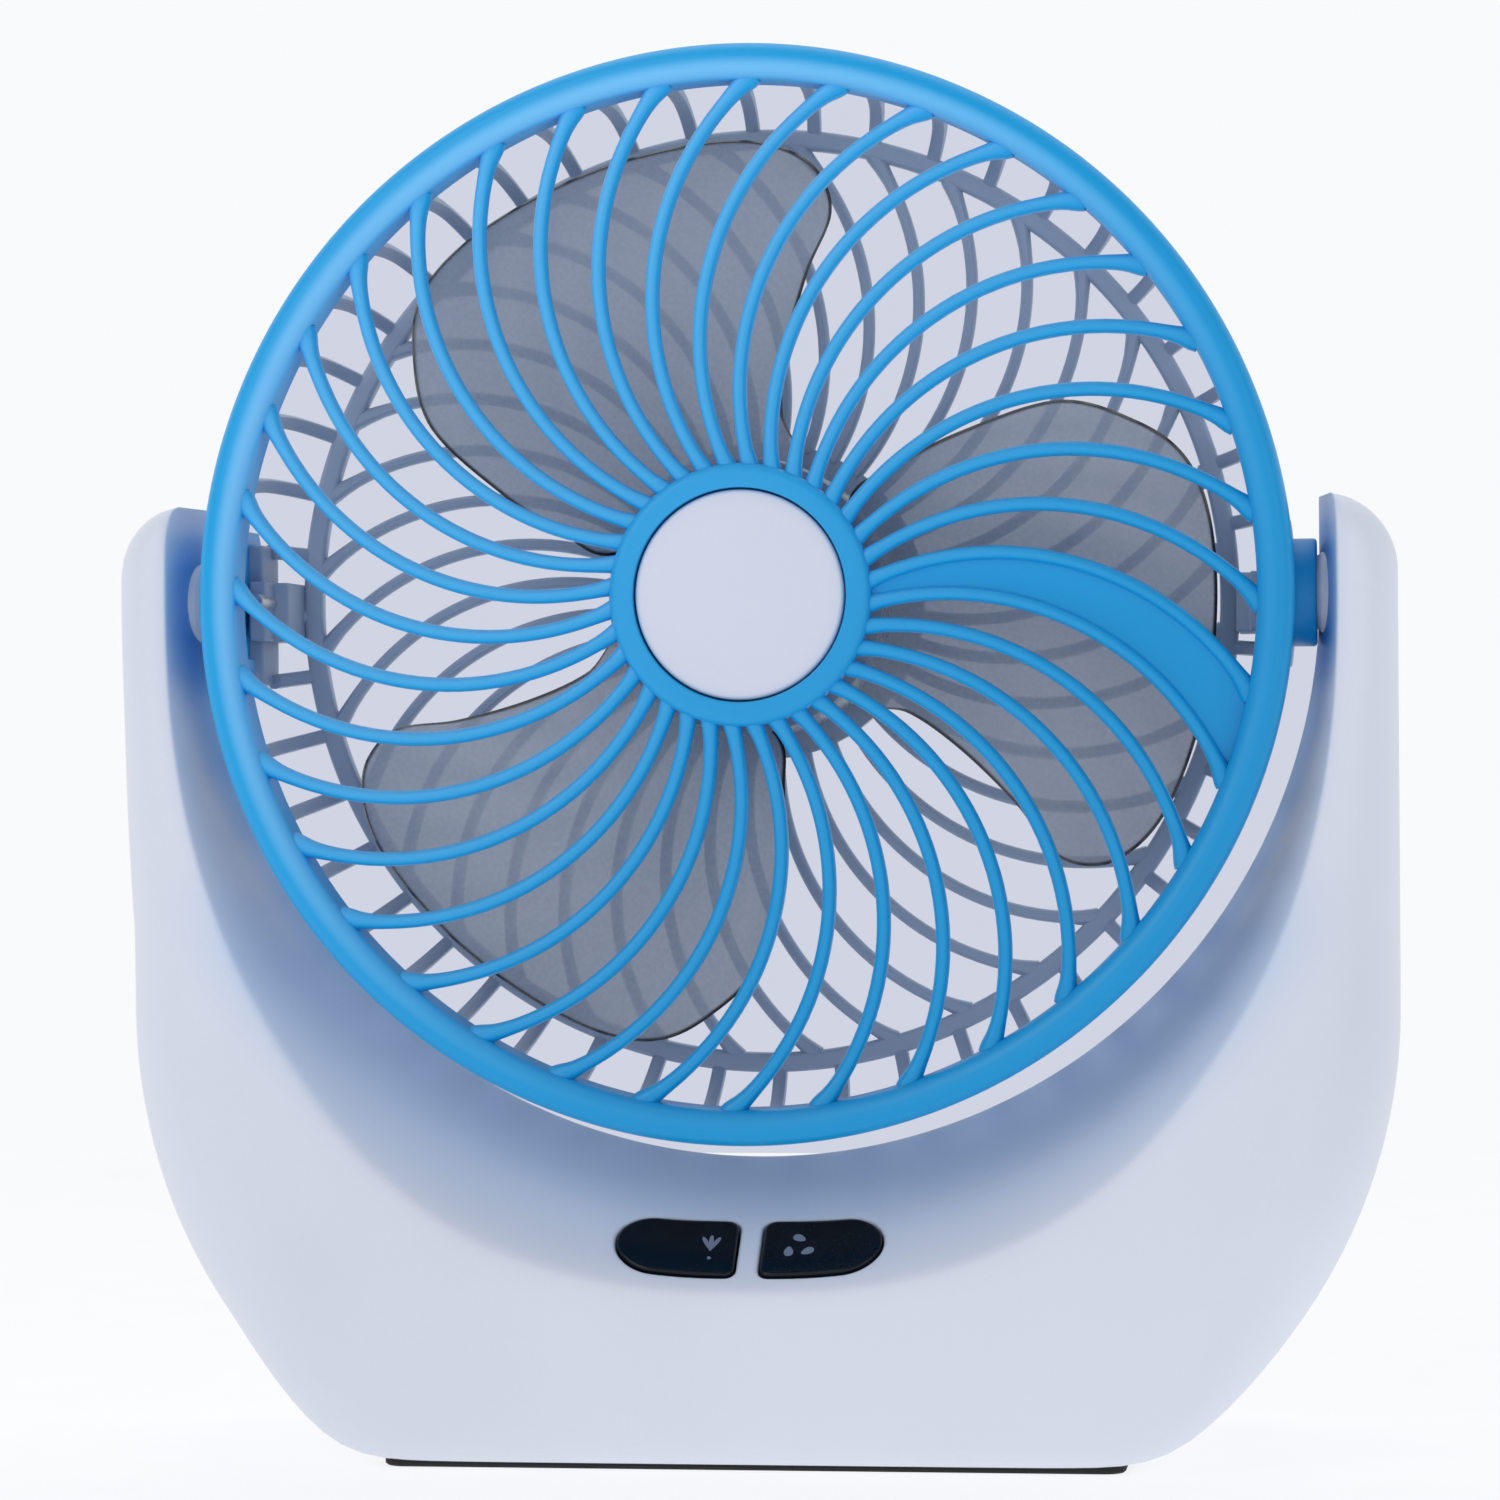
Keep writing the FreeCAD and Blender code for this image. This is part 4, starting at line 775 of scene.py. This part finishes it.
def rear_face(z):
    """Depth of the base's back: the arms are upright and the heel swells out below them."""
    heel = 40.0 + 38.0 * np.clip((120.0 - z) / 98.0, 0.0, 1.4) ** 1.25
    foot = 78.0 - 3.0 * np.clip((22.0 - z) / 21.0, 0.0, 1.0) ** 1.9
    top = np.clip((z - 147.8) / 6.7, 0.0, 1.0)
    return smooth_min(heel, foot, 3.0) - 4.0 * (1.0 - np.sqrt(1.0 - top ** 2))


def crease_reach(angle):
    """Radius of the superellipse |x/half|^p + |z/drop|^p = 1 on a ray."""
    return ((np.abs(np.cos(angle)) / CREASE_HALF) ** CREASE_POWER
            + (np.abs(np.sin(angle)) / CREASE_DROP) ** CREASE_POWER) ** (-1.0 / CREASE_POWER)


def outline_reach(angle):
    """Radius of the base's front view on a ray: upright side, round flank or flat foot."""
    c, s = np.cos(angle), np.sin(angle)
    cx, cz = BASE_HALF - FLANK_R, FLANK_Z - PIVOT_Z
    along = c * cx + s * cz
    flank = along + np.sqrt(along ** 2 - cx ** 2 - cz ** 2 + FLANK_R ** 2)
    upright = BASE_HALF / np.maximum(c, 1e-6)
    foot = (FOOT_Z - PIVOT_Z) / np.minimum(s, -1e-6)
    wall = np.where(PIVOT_Z + upright * s > FLANK_Z, upright, flank)
    return (wall ** -70.0 + foot ** -70.0) ** (-1.0 / 70.0)


def stations():
    """Where the base's sections stand, for its right half from the foot to the arm's top.

    Each has a point of the ridge, a direction across the base, the distances out to the crease
    and to the outline, the rear scoop's widening, and the radial and depth sizes of the big
    front edge.
    """
    angle = np.radians(np.concatenate([np.arange(-90.0, -75.9, 0.4), np.arange(-75.2, -1.0, 1.4),
                                       [-0.4]]))
    lower = len(angle)
    corner = np.radians(np.concatenate([np.linspace(0.0, 84.0, 15), [86.5, 88.5]]))
    high_z = np.concatenate([[140.6], 142.4 + CORNER_R * np.sin(corner)])
    high_out = np.concatenate([[BASE_HALF], BASE_HALF - CORNER_R + CORNER_R * np.cos(corner)])
    rows = lower + len(high_z)
    ax = np.concatenate([RIDGE_R * np.cos(angle), np.full(len(high_z), RIDGE_R)])
    az = np.concatenate([PIVOT_Z + RIDGE_R * np.sin(angle), high_z])
    dx = np.concatenate([np.cos(angle), np.ones(len(high_z))])
    dz = np.concatenate([np.sin(angle), np.zeros(len(high_z))])
    crease = np.concatenate([crease_reach(angle) - RIDGE_R, np.full(len(high_z), CREASE_HALF - RIDGE_R)])
    out = np.concatenate([outline_reach(angle) - RIDGE_R, high_out - RIDGE_R])
    ellipse = 1.0 / np.sqrt((np.cos(angle) / REAR_HALF) ** 2 + (np.sin(angle) / REAR_DROP) ** 2)
    widen = np.concatenate([ellipse - RIDGE_R, np.full(len(high_z), REAR_HALF - RIDGE_R)])
    z_out = az + dz * out
    deep = 11.0 + 14.0 * step_between(140.0, 62.0, z_out)
    wide = 8.2 + 10.5 * step_between(132.0, 66.0, z_out)
    full = np.concatenate([angle, np.zeros(len(high_z))])
    foot = step_between(math.radians(-52.0), math.radians(-68.0), full)
    deep = deep * (1.0 - foot) + 3.6 * foot
    wide = wide * (1.0 - foot) + 3.6 * foot
    return dict(ax=ax, az=az, dx=dx, dz=dz, crease=crease, out=out, widen=widen, deep=deep, wide=wide,
                rows=rows)


def front_depth(x, z):
    """Depth of the front skin over its front view, below the pivot and inside its round edge."""
    angle = np.arctan2(z - PIVOT_Z, x)
    q = np.hypot(x, z - PIVOT_Z) - RIDGE_R
    return slope_and_face(q, crease_reach(angle) - RIDGE_R, z)


def slope_and_face(q, crease, z):
    """Depth at a distance out from the ridge: the scoop's slope, softly turning into the face."""
    share = q / crease
    slope = RIDGE_DEPTH - (RIDGE_DEPTH - CREASE_DEPTH) * share
    return smooth_max(slope, front_face(z), 1.5 * np.clip(share * 3.0, 0.0, 1.0))


def on_slope(x, v, lift=0.0):
    """Points of the scoop's middle from X and the distance up its slope, raised off it."""
    c, s = math.cos(SLOPE), math.sin(SLOPE)
    floor = PIVOT_Z - CREASE_DROP
    low = np.full(np.shape(v), floor - 2.0)
    high = np.full(np.shape(v), floor + 26.0)
    for _ in range(40):
        z = 0.5 * (low + high)
        short = (front_depth(x, z) - CREASE_DEPTH) * c + (z - floor) * s < v
        low = np.where(short, z, low)
        high = np.where(short, high, z)
    return place(x, front_depth(x, z) - lift * s, z + lift * c)


def pad_outline(grow):
    """The right button's outline on the slope, which narrows a little towards its round end."""
    x0, x1, y0, y1 = 2.1 - grow, 21.2 + grow, 4.0 - grow, 16.4 + grow
    r = 0.5 * (y1 - y0) - 0.15
    small = 1.6 + grow
    dense = even(rounded([(x0, y0), (x1, y0), (x1, y1), (x0, y1)], [small, r, r, small], 16), 0.15)
    rise = 1.1 * ((dense[:, 0] - x0) / (x1 - x0)).clip(0.0) ** 2 * (y1 - dense[:, 1]) / (y1 - y0)
    dense[:, 1] += rise
    return dense


PAD_CENTRE = np.array([11.2, 10.5])


def reach_of(outline, centre, angle):
    """Distance from a centre to an outline round it, in given directions."""
    ray = outline - centre
    bearing = np.arctan2(ray[:, 1], ray[:, 0])
    order = np.argsort(bearing)
    return np.interp(angle, bearing[order], np.linalg.norm(ray, axis=1)[order], period=2.0 * math.pi)


def ring_ids(ids, i0, i1, j0, j1):
    """Point numbers round a block of a grid, in order."""
    return np.concatenate([ids[i0:i1, j0], ids[i1, j0:j1], ids[i1:i0:-1, j1], ids[i0, j1:j0:-1]])


def mirror(half):
    """A grid of the right half, and the left half before it as its mirror image."""
    left = half[::-1].copy()
    left[..., 0] *= -1.0
    return np.concatenate([left[:-1], half])


def build_front_shell():
    """Sections from the ridge down the scoop's slope, over the soft crease and the face, round
    the big outer edge and back along the side to where the two shells part."""
    st = stations()
    col = {k: v[:, None] for k, v in st.items() if k != "rows"}
    # the crease is where the slope comes out through the face
    q_c = col["crease"] * 0.9
    for _ in range(6):
        z = col["az"] + col["dz"] * q_c
        q_c = col["crease"] * (RIDGE_DEPTH - front_face(z)) / (RIDGE_DEPTH - CREASE_DEPTH)
    down = np.concatenate([[0.0, 0.02, 0.06, 0.12, 0.2, 0.27], np.linspace(0.33, 0.955, 34),
                           [0.975, 0.99]])
    wide = np.minimum(col["wide"], 0.86 * (col["out"] - q_c))
    face = (np.arange(0, 15) / 15.0) ** 1.6
    beta = np.radians(np.linspace(0.0, 90.0, 16))
    deep = col["deep"] * np.clip(wide / np.maximum(col["wide"], 1e-6), 0.25, 1.0)
    q = np.concatenate([q_c * down[None, :],
                        q_c + (col["out"] - wide - q_c) * face[None, :],
                        col["out"] - wide * (1.0 - np.sin(beta))[None, :]], axis=1)
    z = col["az"] + col["dz"] * q
    x = col["ax"] + col["dx"] * q
    depth = slope_and_face(q, col["crease"], z)
    # the rounded edge ends in front of the line where the shells part
    deep = np.minimum(deep, RIDGE_DEPTH - 0.8 - depth[:, -1:])
    depth[:, -len(beta):] += deep * (1.0 - np.cos(beta))[None, :]
    last = depth[:, -1:]
    wall = last + (RIDGE_DEPTH - last) * np.array([0.3, 0.65, 1.0])[None, :]
    depth = np.concatenate([depth, wall], axis=1)
    x = np.concatenate([x, np.repeat(x[:, -1:], 3, axis=1)], axis=1)
    z = np.concatenate([z, np.repeat(z[:, -1:], 3, axis=1)], axis=1)
    half = place(x, depth, z)
    half[0, :, 0] = 0.0
    grid = mirror(half)
    skin = Skin()
    ids = skin.add(grid)
    centre_row = st["rows"] - 1
    wide_rows = 35
    j0, j1 = 6, 39
    skip = np.zeros((grid.shape[0] - 1, grid.shape[1] - 1), bool)
    skip[centre_row - wide_rows:centre_row + wide_rows, j0:j1] = True
    skin.stitch(ids, skip=skip)
    c, s = math.cos(SLOPE), math.sin(SLOPE)
    for way in (1, -1):
        i0, i1 = (centre_row, centre_row + wide_rows) if way > 0 else (centre_row - wide_rows, centre_row)
        loop = ring_ids(ids, i0, i1, j0, j1)
        edge = np.concatenate(skin.points)[loop]
        flat = np.stack([way * edge[:, 0], (edge[:, 1] + HALF_DEPTH - CREASE_DEPTH) * c
                         + (edge[:, 2] - PIVOT_Z + CREASE_DROP) * s], axis=-1)
        ray = flat - PAD_CENTRE
        angle = np.arctan2(ray[:, 1], ray[:, 0])
        unit = np.stack([np.cos(angle), np.sin(angle)], axis=-1)
        near = reach_of(pad_outline(0.3), PAD_CENTRE, angle)
        far = np.linalg.norm(ray, axis=1)
        rows = [loop]
        room = far - near
        for out, drop in ((0.6, None), (0.3, None), (0.75, 0.0), (0.45, 0.06), (0.22, 0.2), (0.07, 0.45),
                          (0.0, 0.75), (0.0, 1.6), (0.0, 3.2)):
            if drop is None:
                reach = near + np.maximum(room * out, 0.8 + 0.1 * out)
                reach = np.minimum(reach, near + 0.75 + (room - 0.75) * (0.35 + out))
                drop = 0.0
            else:
                reach = near + np.minimum(out, 0.8 * room)
            spot = PAD_CENTRE + unit * reach[:, None]
            points = on_slope(spot[:, 0], spot[:, 1], -drop)
            points[:, 0] *= way
            rows.append(skin.add(points))
        skin.stitch(np.array(rows), around=True)
    for end in (ids[0], ids[-1]):
        skin.fan(end, np.concatenate(skin.points)[end].mean(axis=0))
    return skin.piece("front_shell_skin", WHITE, "base", ["base_front_shell"], sharp=48.0)


def boss_rows(side):
    """The round seat of a pivot bush: a thick washer about the tilt axis on an arm's inside."""
    section = rounded([(4.6, 90.2), (5.8, 90.2), (6.4, 91.0), (6.4, 95.4), (4.6, 95.4)],
                      [0.0, 0.3, 0.3, 0.0, 0.0], 4)
    angle = np.linspace(0.0, 2.0 * math.pi, 72, endpoint=False)
    rows = []
    for a in angle:
        rows.append(place(side * section[:, 1], PIVOT_DEPTH + section[:, 0] * math.cos(a),
                          PIVOT_Z + section[:, 0] * math.sin(a)))
    return np.array(rows)


def build_bushes():
    """The nylon bush in each arm, a closed ring about the tilt axis."""
    for side, name in ((-1.0, "left_pivot_bush"), (1.0, "right_pivot_bush")):
        skin = Skin()
        ids = skin.add(boss_rows(side))
        skin.stitch(np.concatenate([ids, ids[:1]]), around=True)
        skin.piece(name + "_skin", NYLON, "base", [name])


def build_rear_shell():
    """Sections from the ridge back along the saddle, over its edge and down the back, round the
    outer edge and forward along the side to where the shells part."""
    st = stations()
    col = {k: v[:, None] for k, v in st.items() if k != "rows"}
    low = np.full((st["rows"], 1), RIDGE_DEPTH)
    high = np.full((st["rows"], 1), REAR_DEPTH)
    for _ in range(40):
        mid = 0.5 * (low + high)
        q = col["widen"] * (mid - RIDGE_DEPTH) / (REAR_DEPTH - RIDGE_DEPTH)
        inside = mid < rear_face(col["az"] + col["dz"] * q)
        low = np.where(inside, mid, low)
        high = np.where(inside, high, mid)
    edge_depth = 0.5 * (low + high)
    q_e = np.minimum(col["widen"] * (edge_depth - RIDGE_DEPTH) / (REAR_DEPTH - RIDGE_DEPTH),
                     0.45 * col["out"])
    room = col["out"] - q_e
    small = np.minimum(1.5, 0.3 * room)
    wide = np.minimum(6.0, 0.5 * room)
    deep = np.minimum(7.0, 1.4 * wide)
    along = np.linspace(0.0, 1.0, 12)
    turn = np.radians(np.linspace(90.0, 0.0, 7))
    beta = np.radians(np.linspace(0.0, 90.0, 12))
    face = np.linspace(0.0, 1.0, 40)[1:]
    q = np.concatenate([q_e * along[None, :],
                        q_e + small * (1.0 - np.sin(turn))[None, 1:],
                        q_e + small + (room - small - wide) * face[None, :],
                        col["out"] - wide * (1.0 - np.sin(beta))[None, 1:]], axis=1)
    z = col["az"] + col["dz"] * q
    x = col["ax"] + col["dx"] * q
    depth = rear_face(z)
    n0 = len(along)
    start = depth[:, n0 - 1:n0] - small
    depth[:, :n0] = RIDGE_DEPTH + (start - RIDGE_DEPTH) * along[None, :]
    n1 = n0 + len(turn) - 1
    depth[:, n0:n1] -= small * (1.0 - np.cos(turn))[None, 1:]
    n2 = n1 + len(face)
    depth[:, n2:] -= deep * (1.0 - np.cos(beta))[None, 1:]
    last = depth[:, -1:]
    wall = last + (RIDGE_DEPTH - last) * np.array([0.2, 0.45, 0.7, 1.0])[None, :]
    depth = np.concatenate([depth, wall], axis=1)
    x = np.concatenate([x, np.repeat(x[:, -1:], 4, axis=1)], axis=1)
    z = np.concatenate([z, np.repeat(z[:, -1:], 4, axis=1)], axis=1)
    half = place(x, depth, z)
    half[0, :, 0] = 0.0
    grid = mirror(half)
    skin = Skin()
    ids = skin.add(grid)
    skin.stitch(ids)
    for end in (ids[0], ids[-1]):
        skin.fan(end, np.concatenate(skin.points)[end].mean(axis=0))
    return skin.piece("rear_shell_skin", WHITE, "base", ["base_rear_shell"], sharp=48.0)


def build_button(way, name, body, replaces):
    """A glossy cap that follows the slope, flat on top with an eased edge, and its skirt."""
    skin = Skin()
    angle = np.linspace(0.0, 2.0 * math.pi, 120, endpoint=False)
    reach = reach_of(pad_outline(0.0), PAD_CENTRE, (angle + math.pi) % (2.0 * math.pi) - math.pi)
    unit = np.stack([np.cos(angle), np.sin(angle)], axis=-1)
    rows = []
    steps = [(0.0, -3.4), (0.0, -0.1), (0.06, 0.12), (0.2, 0.27), (0.45, 0.36), (0.9, 0.32), (1.3, 0.3)]
    for inset, lift in steps:
        spot = PAD_CENTRE + unit * (reach - inset)[:, None]
        rows.append(on_slope(spot[:, 0], spot[:, 1], lift))
    for share in (0.7, 0.35):
        spot = PAD_CENTRE + unit * ((reach - 1.3) * share)[:, None]
        rows.append(on_slope(spot[:, 0], spot[:, 1], 0.3))
    rows = np.array(rows)
    rows[..., 0] *= way
    skin.tube(rows)
    return skin.piece(name, BLACK, body, replaces)


def flat_mark(skin, way, points, lift=0.33):
    """A thin printed shape on a button, from its outline on the slope."""
    points = np.asarray(points, float)
    rows = []
    for up in (0.2, lift):
        row = on_slope(points[:, 0], points[:, 1], up)
        row[:, 0] *= way
        rows.append(row)
    skin.tube(np.array(rows))


def oval(cx, cy, a, b, tilt, steps=28):
    """An egg-shaped outline: an ellipse of half sizes a and b, a quarter fuller towards one end."""
    angle = np.linspace(0.0, 2.0 * math.pi, steps, endpoint=False)
    c, s = math.cos(tilt), math.sin(tilt)
    u = a * np.cos(angle)
    v = b * np.sin(angle) * (1.0 + 0.25 * np.cos(angle))
    return np.stack([cx + u * c - v * s, cy + u * s + v * c], axis=-1)


def build_icons():
    """Three petals on the fan's button, a lamp with its rays on the lamp's."""
    skin = Skin()
    for k in range(3):
        a = math.radians(90.0 + 120.0 * k)
        flat_mark(skin, 1.0, oval(7.9 + 1.75 * math.cos(a), 10.3 + 2.0 * math.sin(a), 1.1, 0.72,
                                  a + math.radians(60.0)))
    skin.piece("fan_mark", ICON, "fan_button")
    skin = Skin()
    for k in (-1.0, 0.0, 1.0):
        flat_mark(skin, -1.0, oval(6.2 + 0.62 * k, 10.9 + 0.25 * (1.0 - abs(k)), 1.75, 0.36,
                                   math.radians(90.0 - 27.0 * k)))
    flat_mark(skin, -1.0, oval(6.2, 7.7, 0.32, 0.32, 0.0))
    skin.piece("lamp_mark", ICON, "light_button")


def build_pad():
    """The rubber strip under the foot, its lower edge drawn in a little."""
    skin = Skin()
    outline = rounded([(-59.5, 9.0), (59.5, 9.0), (59.5, 70.0), (-59.5, 70.0)], 3.0, 6)
    rows = []
    for z, inset in ((0.0, 0.35), (0.35, 0.0), (1.8, 0.0)):
        shrink = 1.0 - inset / np.array([59.5, 30.5])
        middle = np.array([0.0, 39.5])
        ring = middle + (outline - middle) * shrink
        rows.append(place(ring[:, 0], ring[:, 1], z))
    skin.tube(np.array(rows))
    return skin.piece("anti_slip_strip", RUBBER, "base", ["anti_slip_pad"])


def build_socket_mouth():
    """The charging socket's mouth, low on the back: a bright rim round a dark slot."""
    for name, material, slot, half_x, half_z, lift in (
            ("socket_rim", NICKEL, "nickel_strip", 4.6, 1.75, 0.06),
            ("socket_slot", BLACK, "black_gloss", 4.05, 1.2, 0.10)):
        skin = Skin()
        outline = rounded([(64.0 - half_x, 14.65 - half_z), (64.0 + half_x, 14.65 - half_z),
                           (64.0 + half_x, 14.65 + half_z), (64.0 - half_x, 14.65 + half_z)],
                          half_z - 0.02, 10)
        rows = [place(outline[:, 0], rear_face(outline[:, 1]) + up, outline[:, 1])
                for up in (-0.8, lift)]
        skin.tube(np.array(rows))
        skin.piece(name, material, "base")


def build_lamp():
    """The milky window in the heel: a stadium that follows the back and stands a little proud."""
    skin = Skin()
    outline = rounded([(-45.0, 10.0), (45.0, 10.0), (45.0, 26.0), (-45.0, 26.0)], 7.95, 12)
    middle = np.array([0.0, 18.0])
    rows = []
    steps = [(0.0, -2.0), (0.0, 0.1), (0.15, 0.3), (0.5, 0.45), (2.5, 0.5), (5.0, 0.5), (7.5, 0.5)]
    for inset, lift in steps:
        x = np.sign(outline[:, 0]) * np.maximum(np.abs(outline[:, 0]) - inset, 0.0)
        z = middle[1] + (outline[:, 1] - middle[1]) * (1.0 - inset / 8.0)
        rows.append(place(x, rear_face(z) + lift, z))
    rows = np.array(rows)
    rows[..., 1] = np.minimum(rows[..., 1], HALF_DEPTH - 0.05)
    skin.tube(rows)
    return skin.piece("lamp_window", MILK, "base", ["lamp_diffuser"])


build_front_grille()
build_hub_cap()
build_rear_grille()
build_impeller()
build_front_shell()
build_bushes()
build_rear_shell()
build_button(1.0, "fan_button_cap", "fan_button", ["fan_button"])
build_button(-1.0, "light_button_cap", "light_button", ["light_button"])
build_icons()
build_pad()
build_lamp()
build_socket_mouth()


# ------------------------------------------------------------------------------ studio

def stage_plane(name, corners, material):
    """One four-cornered sheet of the studio."""
    mesh = bpy.data.meshes.new(name)
    mesh.from_pydata(corners, [], [(0, 1, 2, 3)])
    mesh.materials.append(material)
    obj = bpy.data.objects.new(name, mesh)
    bpy.context.scene.collection.objects.link(obj)
    return obj


def backdrop_paint():
    """White card with a painted soft shadow behind the fan's head, clear when seen from behind.

    The painted shadow is a cool grey disc about the head's centre as carried from the eye on to the card.
    """
    paint = Paint("backdrop")
    x = paint.axis(0) - BACK_X
    z = paint.axis(2) - BACK_Z
    radius = (x * x + z * z).maths("SQRT")
    reach = (z * -1.0).between(-0.011 * travel, 0.017 * travel, 0.0842 * travel, 0.0975 * travel)
    # painted shadow: a soft cool grey disc on the card, seen through the grilles
    painted_shadow = (radius - reach).between(-0.002 * travel, 0.002 * travel, 1.0, 0.0)
    tone = painted_shadow.mix(linear(249, 250, 251), linear(208, 212, 227))
    emit = paint.node("ShaderNodeEmission", {"Color": tone, "Strength": 1.0})
    behind = paint.node("ShaderNodeNewGeometry", out="Backfacing")
    clear = paint.node("ShaderNodeBsdfTransparent")
    both = paint.node("ShaderNodeMixShader", {0: behind, 1: emit, 2: clear})
    result = paint.tree.nodes.new("ShaderNodeOutputMaterial")
    paint.tree.links.new(both.socket, result.inputs["Surface"])
    return paint.material


def floor_paint():
    """A pale floor, mostly lit from within so that it meets the backdrop without a line."""
    paint = Paint("floor")
    fine = paint.noise(60.0, 3.0)
    hue = fine.between(0.3, 0.7).mix((0.195, 0.195, 0.20, 1.0), (0.205, 0.205, 0.21, 1.0))
    return paint.finish(hue, 0.9, Emission_Color=linear(249, 250, 251), Emission_Strength=0.838,
                        Specular_IOR_Level=0.0)


AZIMUTH = math.radians(7.3)
SIGHT = 0.800
CAM_Z = 0.1145
RIGHT = Vector((math.cos(AZIMUTH), math.sin(AZIMUTH), 0.0))
AWAY = Vector((-math.sin(AZIMUTH), math.cos(AZIMUTH), 0.0))
aim = Vector((0.0, -0.035, CAM_Z))
eye = aim - AWAY * SIGHT + RIGHT * 0.00134

BACK_Y = 0.60
travel = (BACK_Y - eye.y) / (aim.y - eye.y)
BACK_X = eye.x + (0.0 - eye.x) * travel
BACK_Z = eye.z + (0.139 - eye.z) * travel

camera_data = bpy.data.cameras.new("camera")
camera_data.sensor_width = 36.0
camera_data.lens = 121.6
camera_data.clip_start = 0.01
camera_data.clip_end = 50.0
camera = bpy.data.objects.new("camera", camera_data)
bpy.context.scene.collection.objects.link(camera)
turn = (Matrix.Rotation(AZIMUTH, 4, "Z") @ Matrix.Rotation(math.radians(90.0), 4, "X")
        @ Matrix.Rotation(math.radians(-0.38), 4, "Z"))
camera.matrix_world = Matrix.Translation(eye) @ turn
bpy.context.scene.camera = camera

stage_plane("floor", [(-12, -12, 0), (12, -12, 0), (12, 12, 0), (-12, 12, 0)], floor_paint())
stage_plane("backdrop", [(-12, BACK_Y, 0), (12, BACK_Y, 0), (12, BACK_Y, 5), (-12, BACK_Y, 5)],
            backdrop_paint())


def lamp(name, place_at, target, size, power, colour=(1.0, 1.0, 1.0)):
    """A square soft light aimed at a point."""
    data = bpy.data.lights.new(name, "AREA")
    data.shape = "SQUARE"
    data.size = size
    data.energy = power
    data.color = colour
    obj = bpy.data.objects.new(name, data)
    bpy.context.scene.collection.objects.link(obj)
    obj.location = place_at
    way = Vector(target) - Vector(place_at)
    obj.rotation_euler = way.to_track_quat("-Z", "Y").to_euler()
    return obj


lamp("key", (-0.60, -0.80, 0.72), (0, 0, 0.10), 0.8, 3.7, (1.0, 0.99, 0.98))
lamp("fill", (0.85, -0.75, 0.42), (0, 0, 0.09), 0.7, 1.75, (0.95, 0.97, 1.0))
lamp("top", (0.0, 0.1, 1.1), (0, 0, 0.1), 1.0, 2.4)
lamp("front", (0.1, -1.4, 0.15), (0, 0, 0.1), 1.2, 2.5, (0.98, 0.98, 1.0))

world = bpy.data.worlds.new("studio")
world.use_nodes = True
world.node_tree.nodes["Background"].inputs[0].default_value = (0.90, 0.94, 1.0, 1.0)
world.node_tree.nodes["Background"].inputs[1].default_value = 0.26
bpy.context.scene.world = world
bpy.context.scene.view_settings.view_transform = "Standard"
bpy.context.scene.view_settings.look = "None"
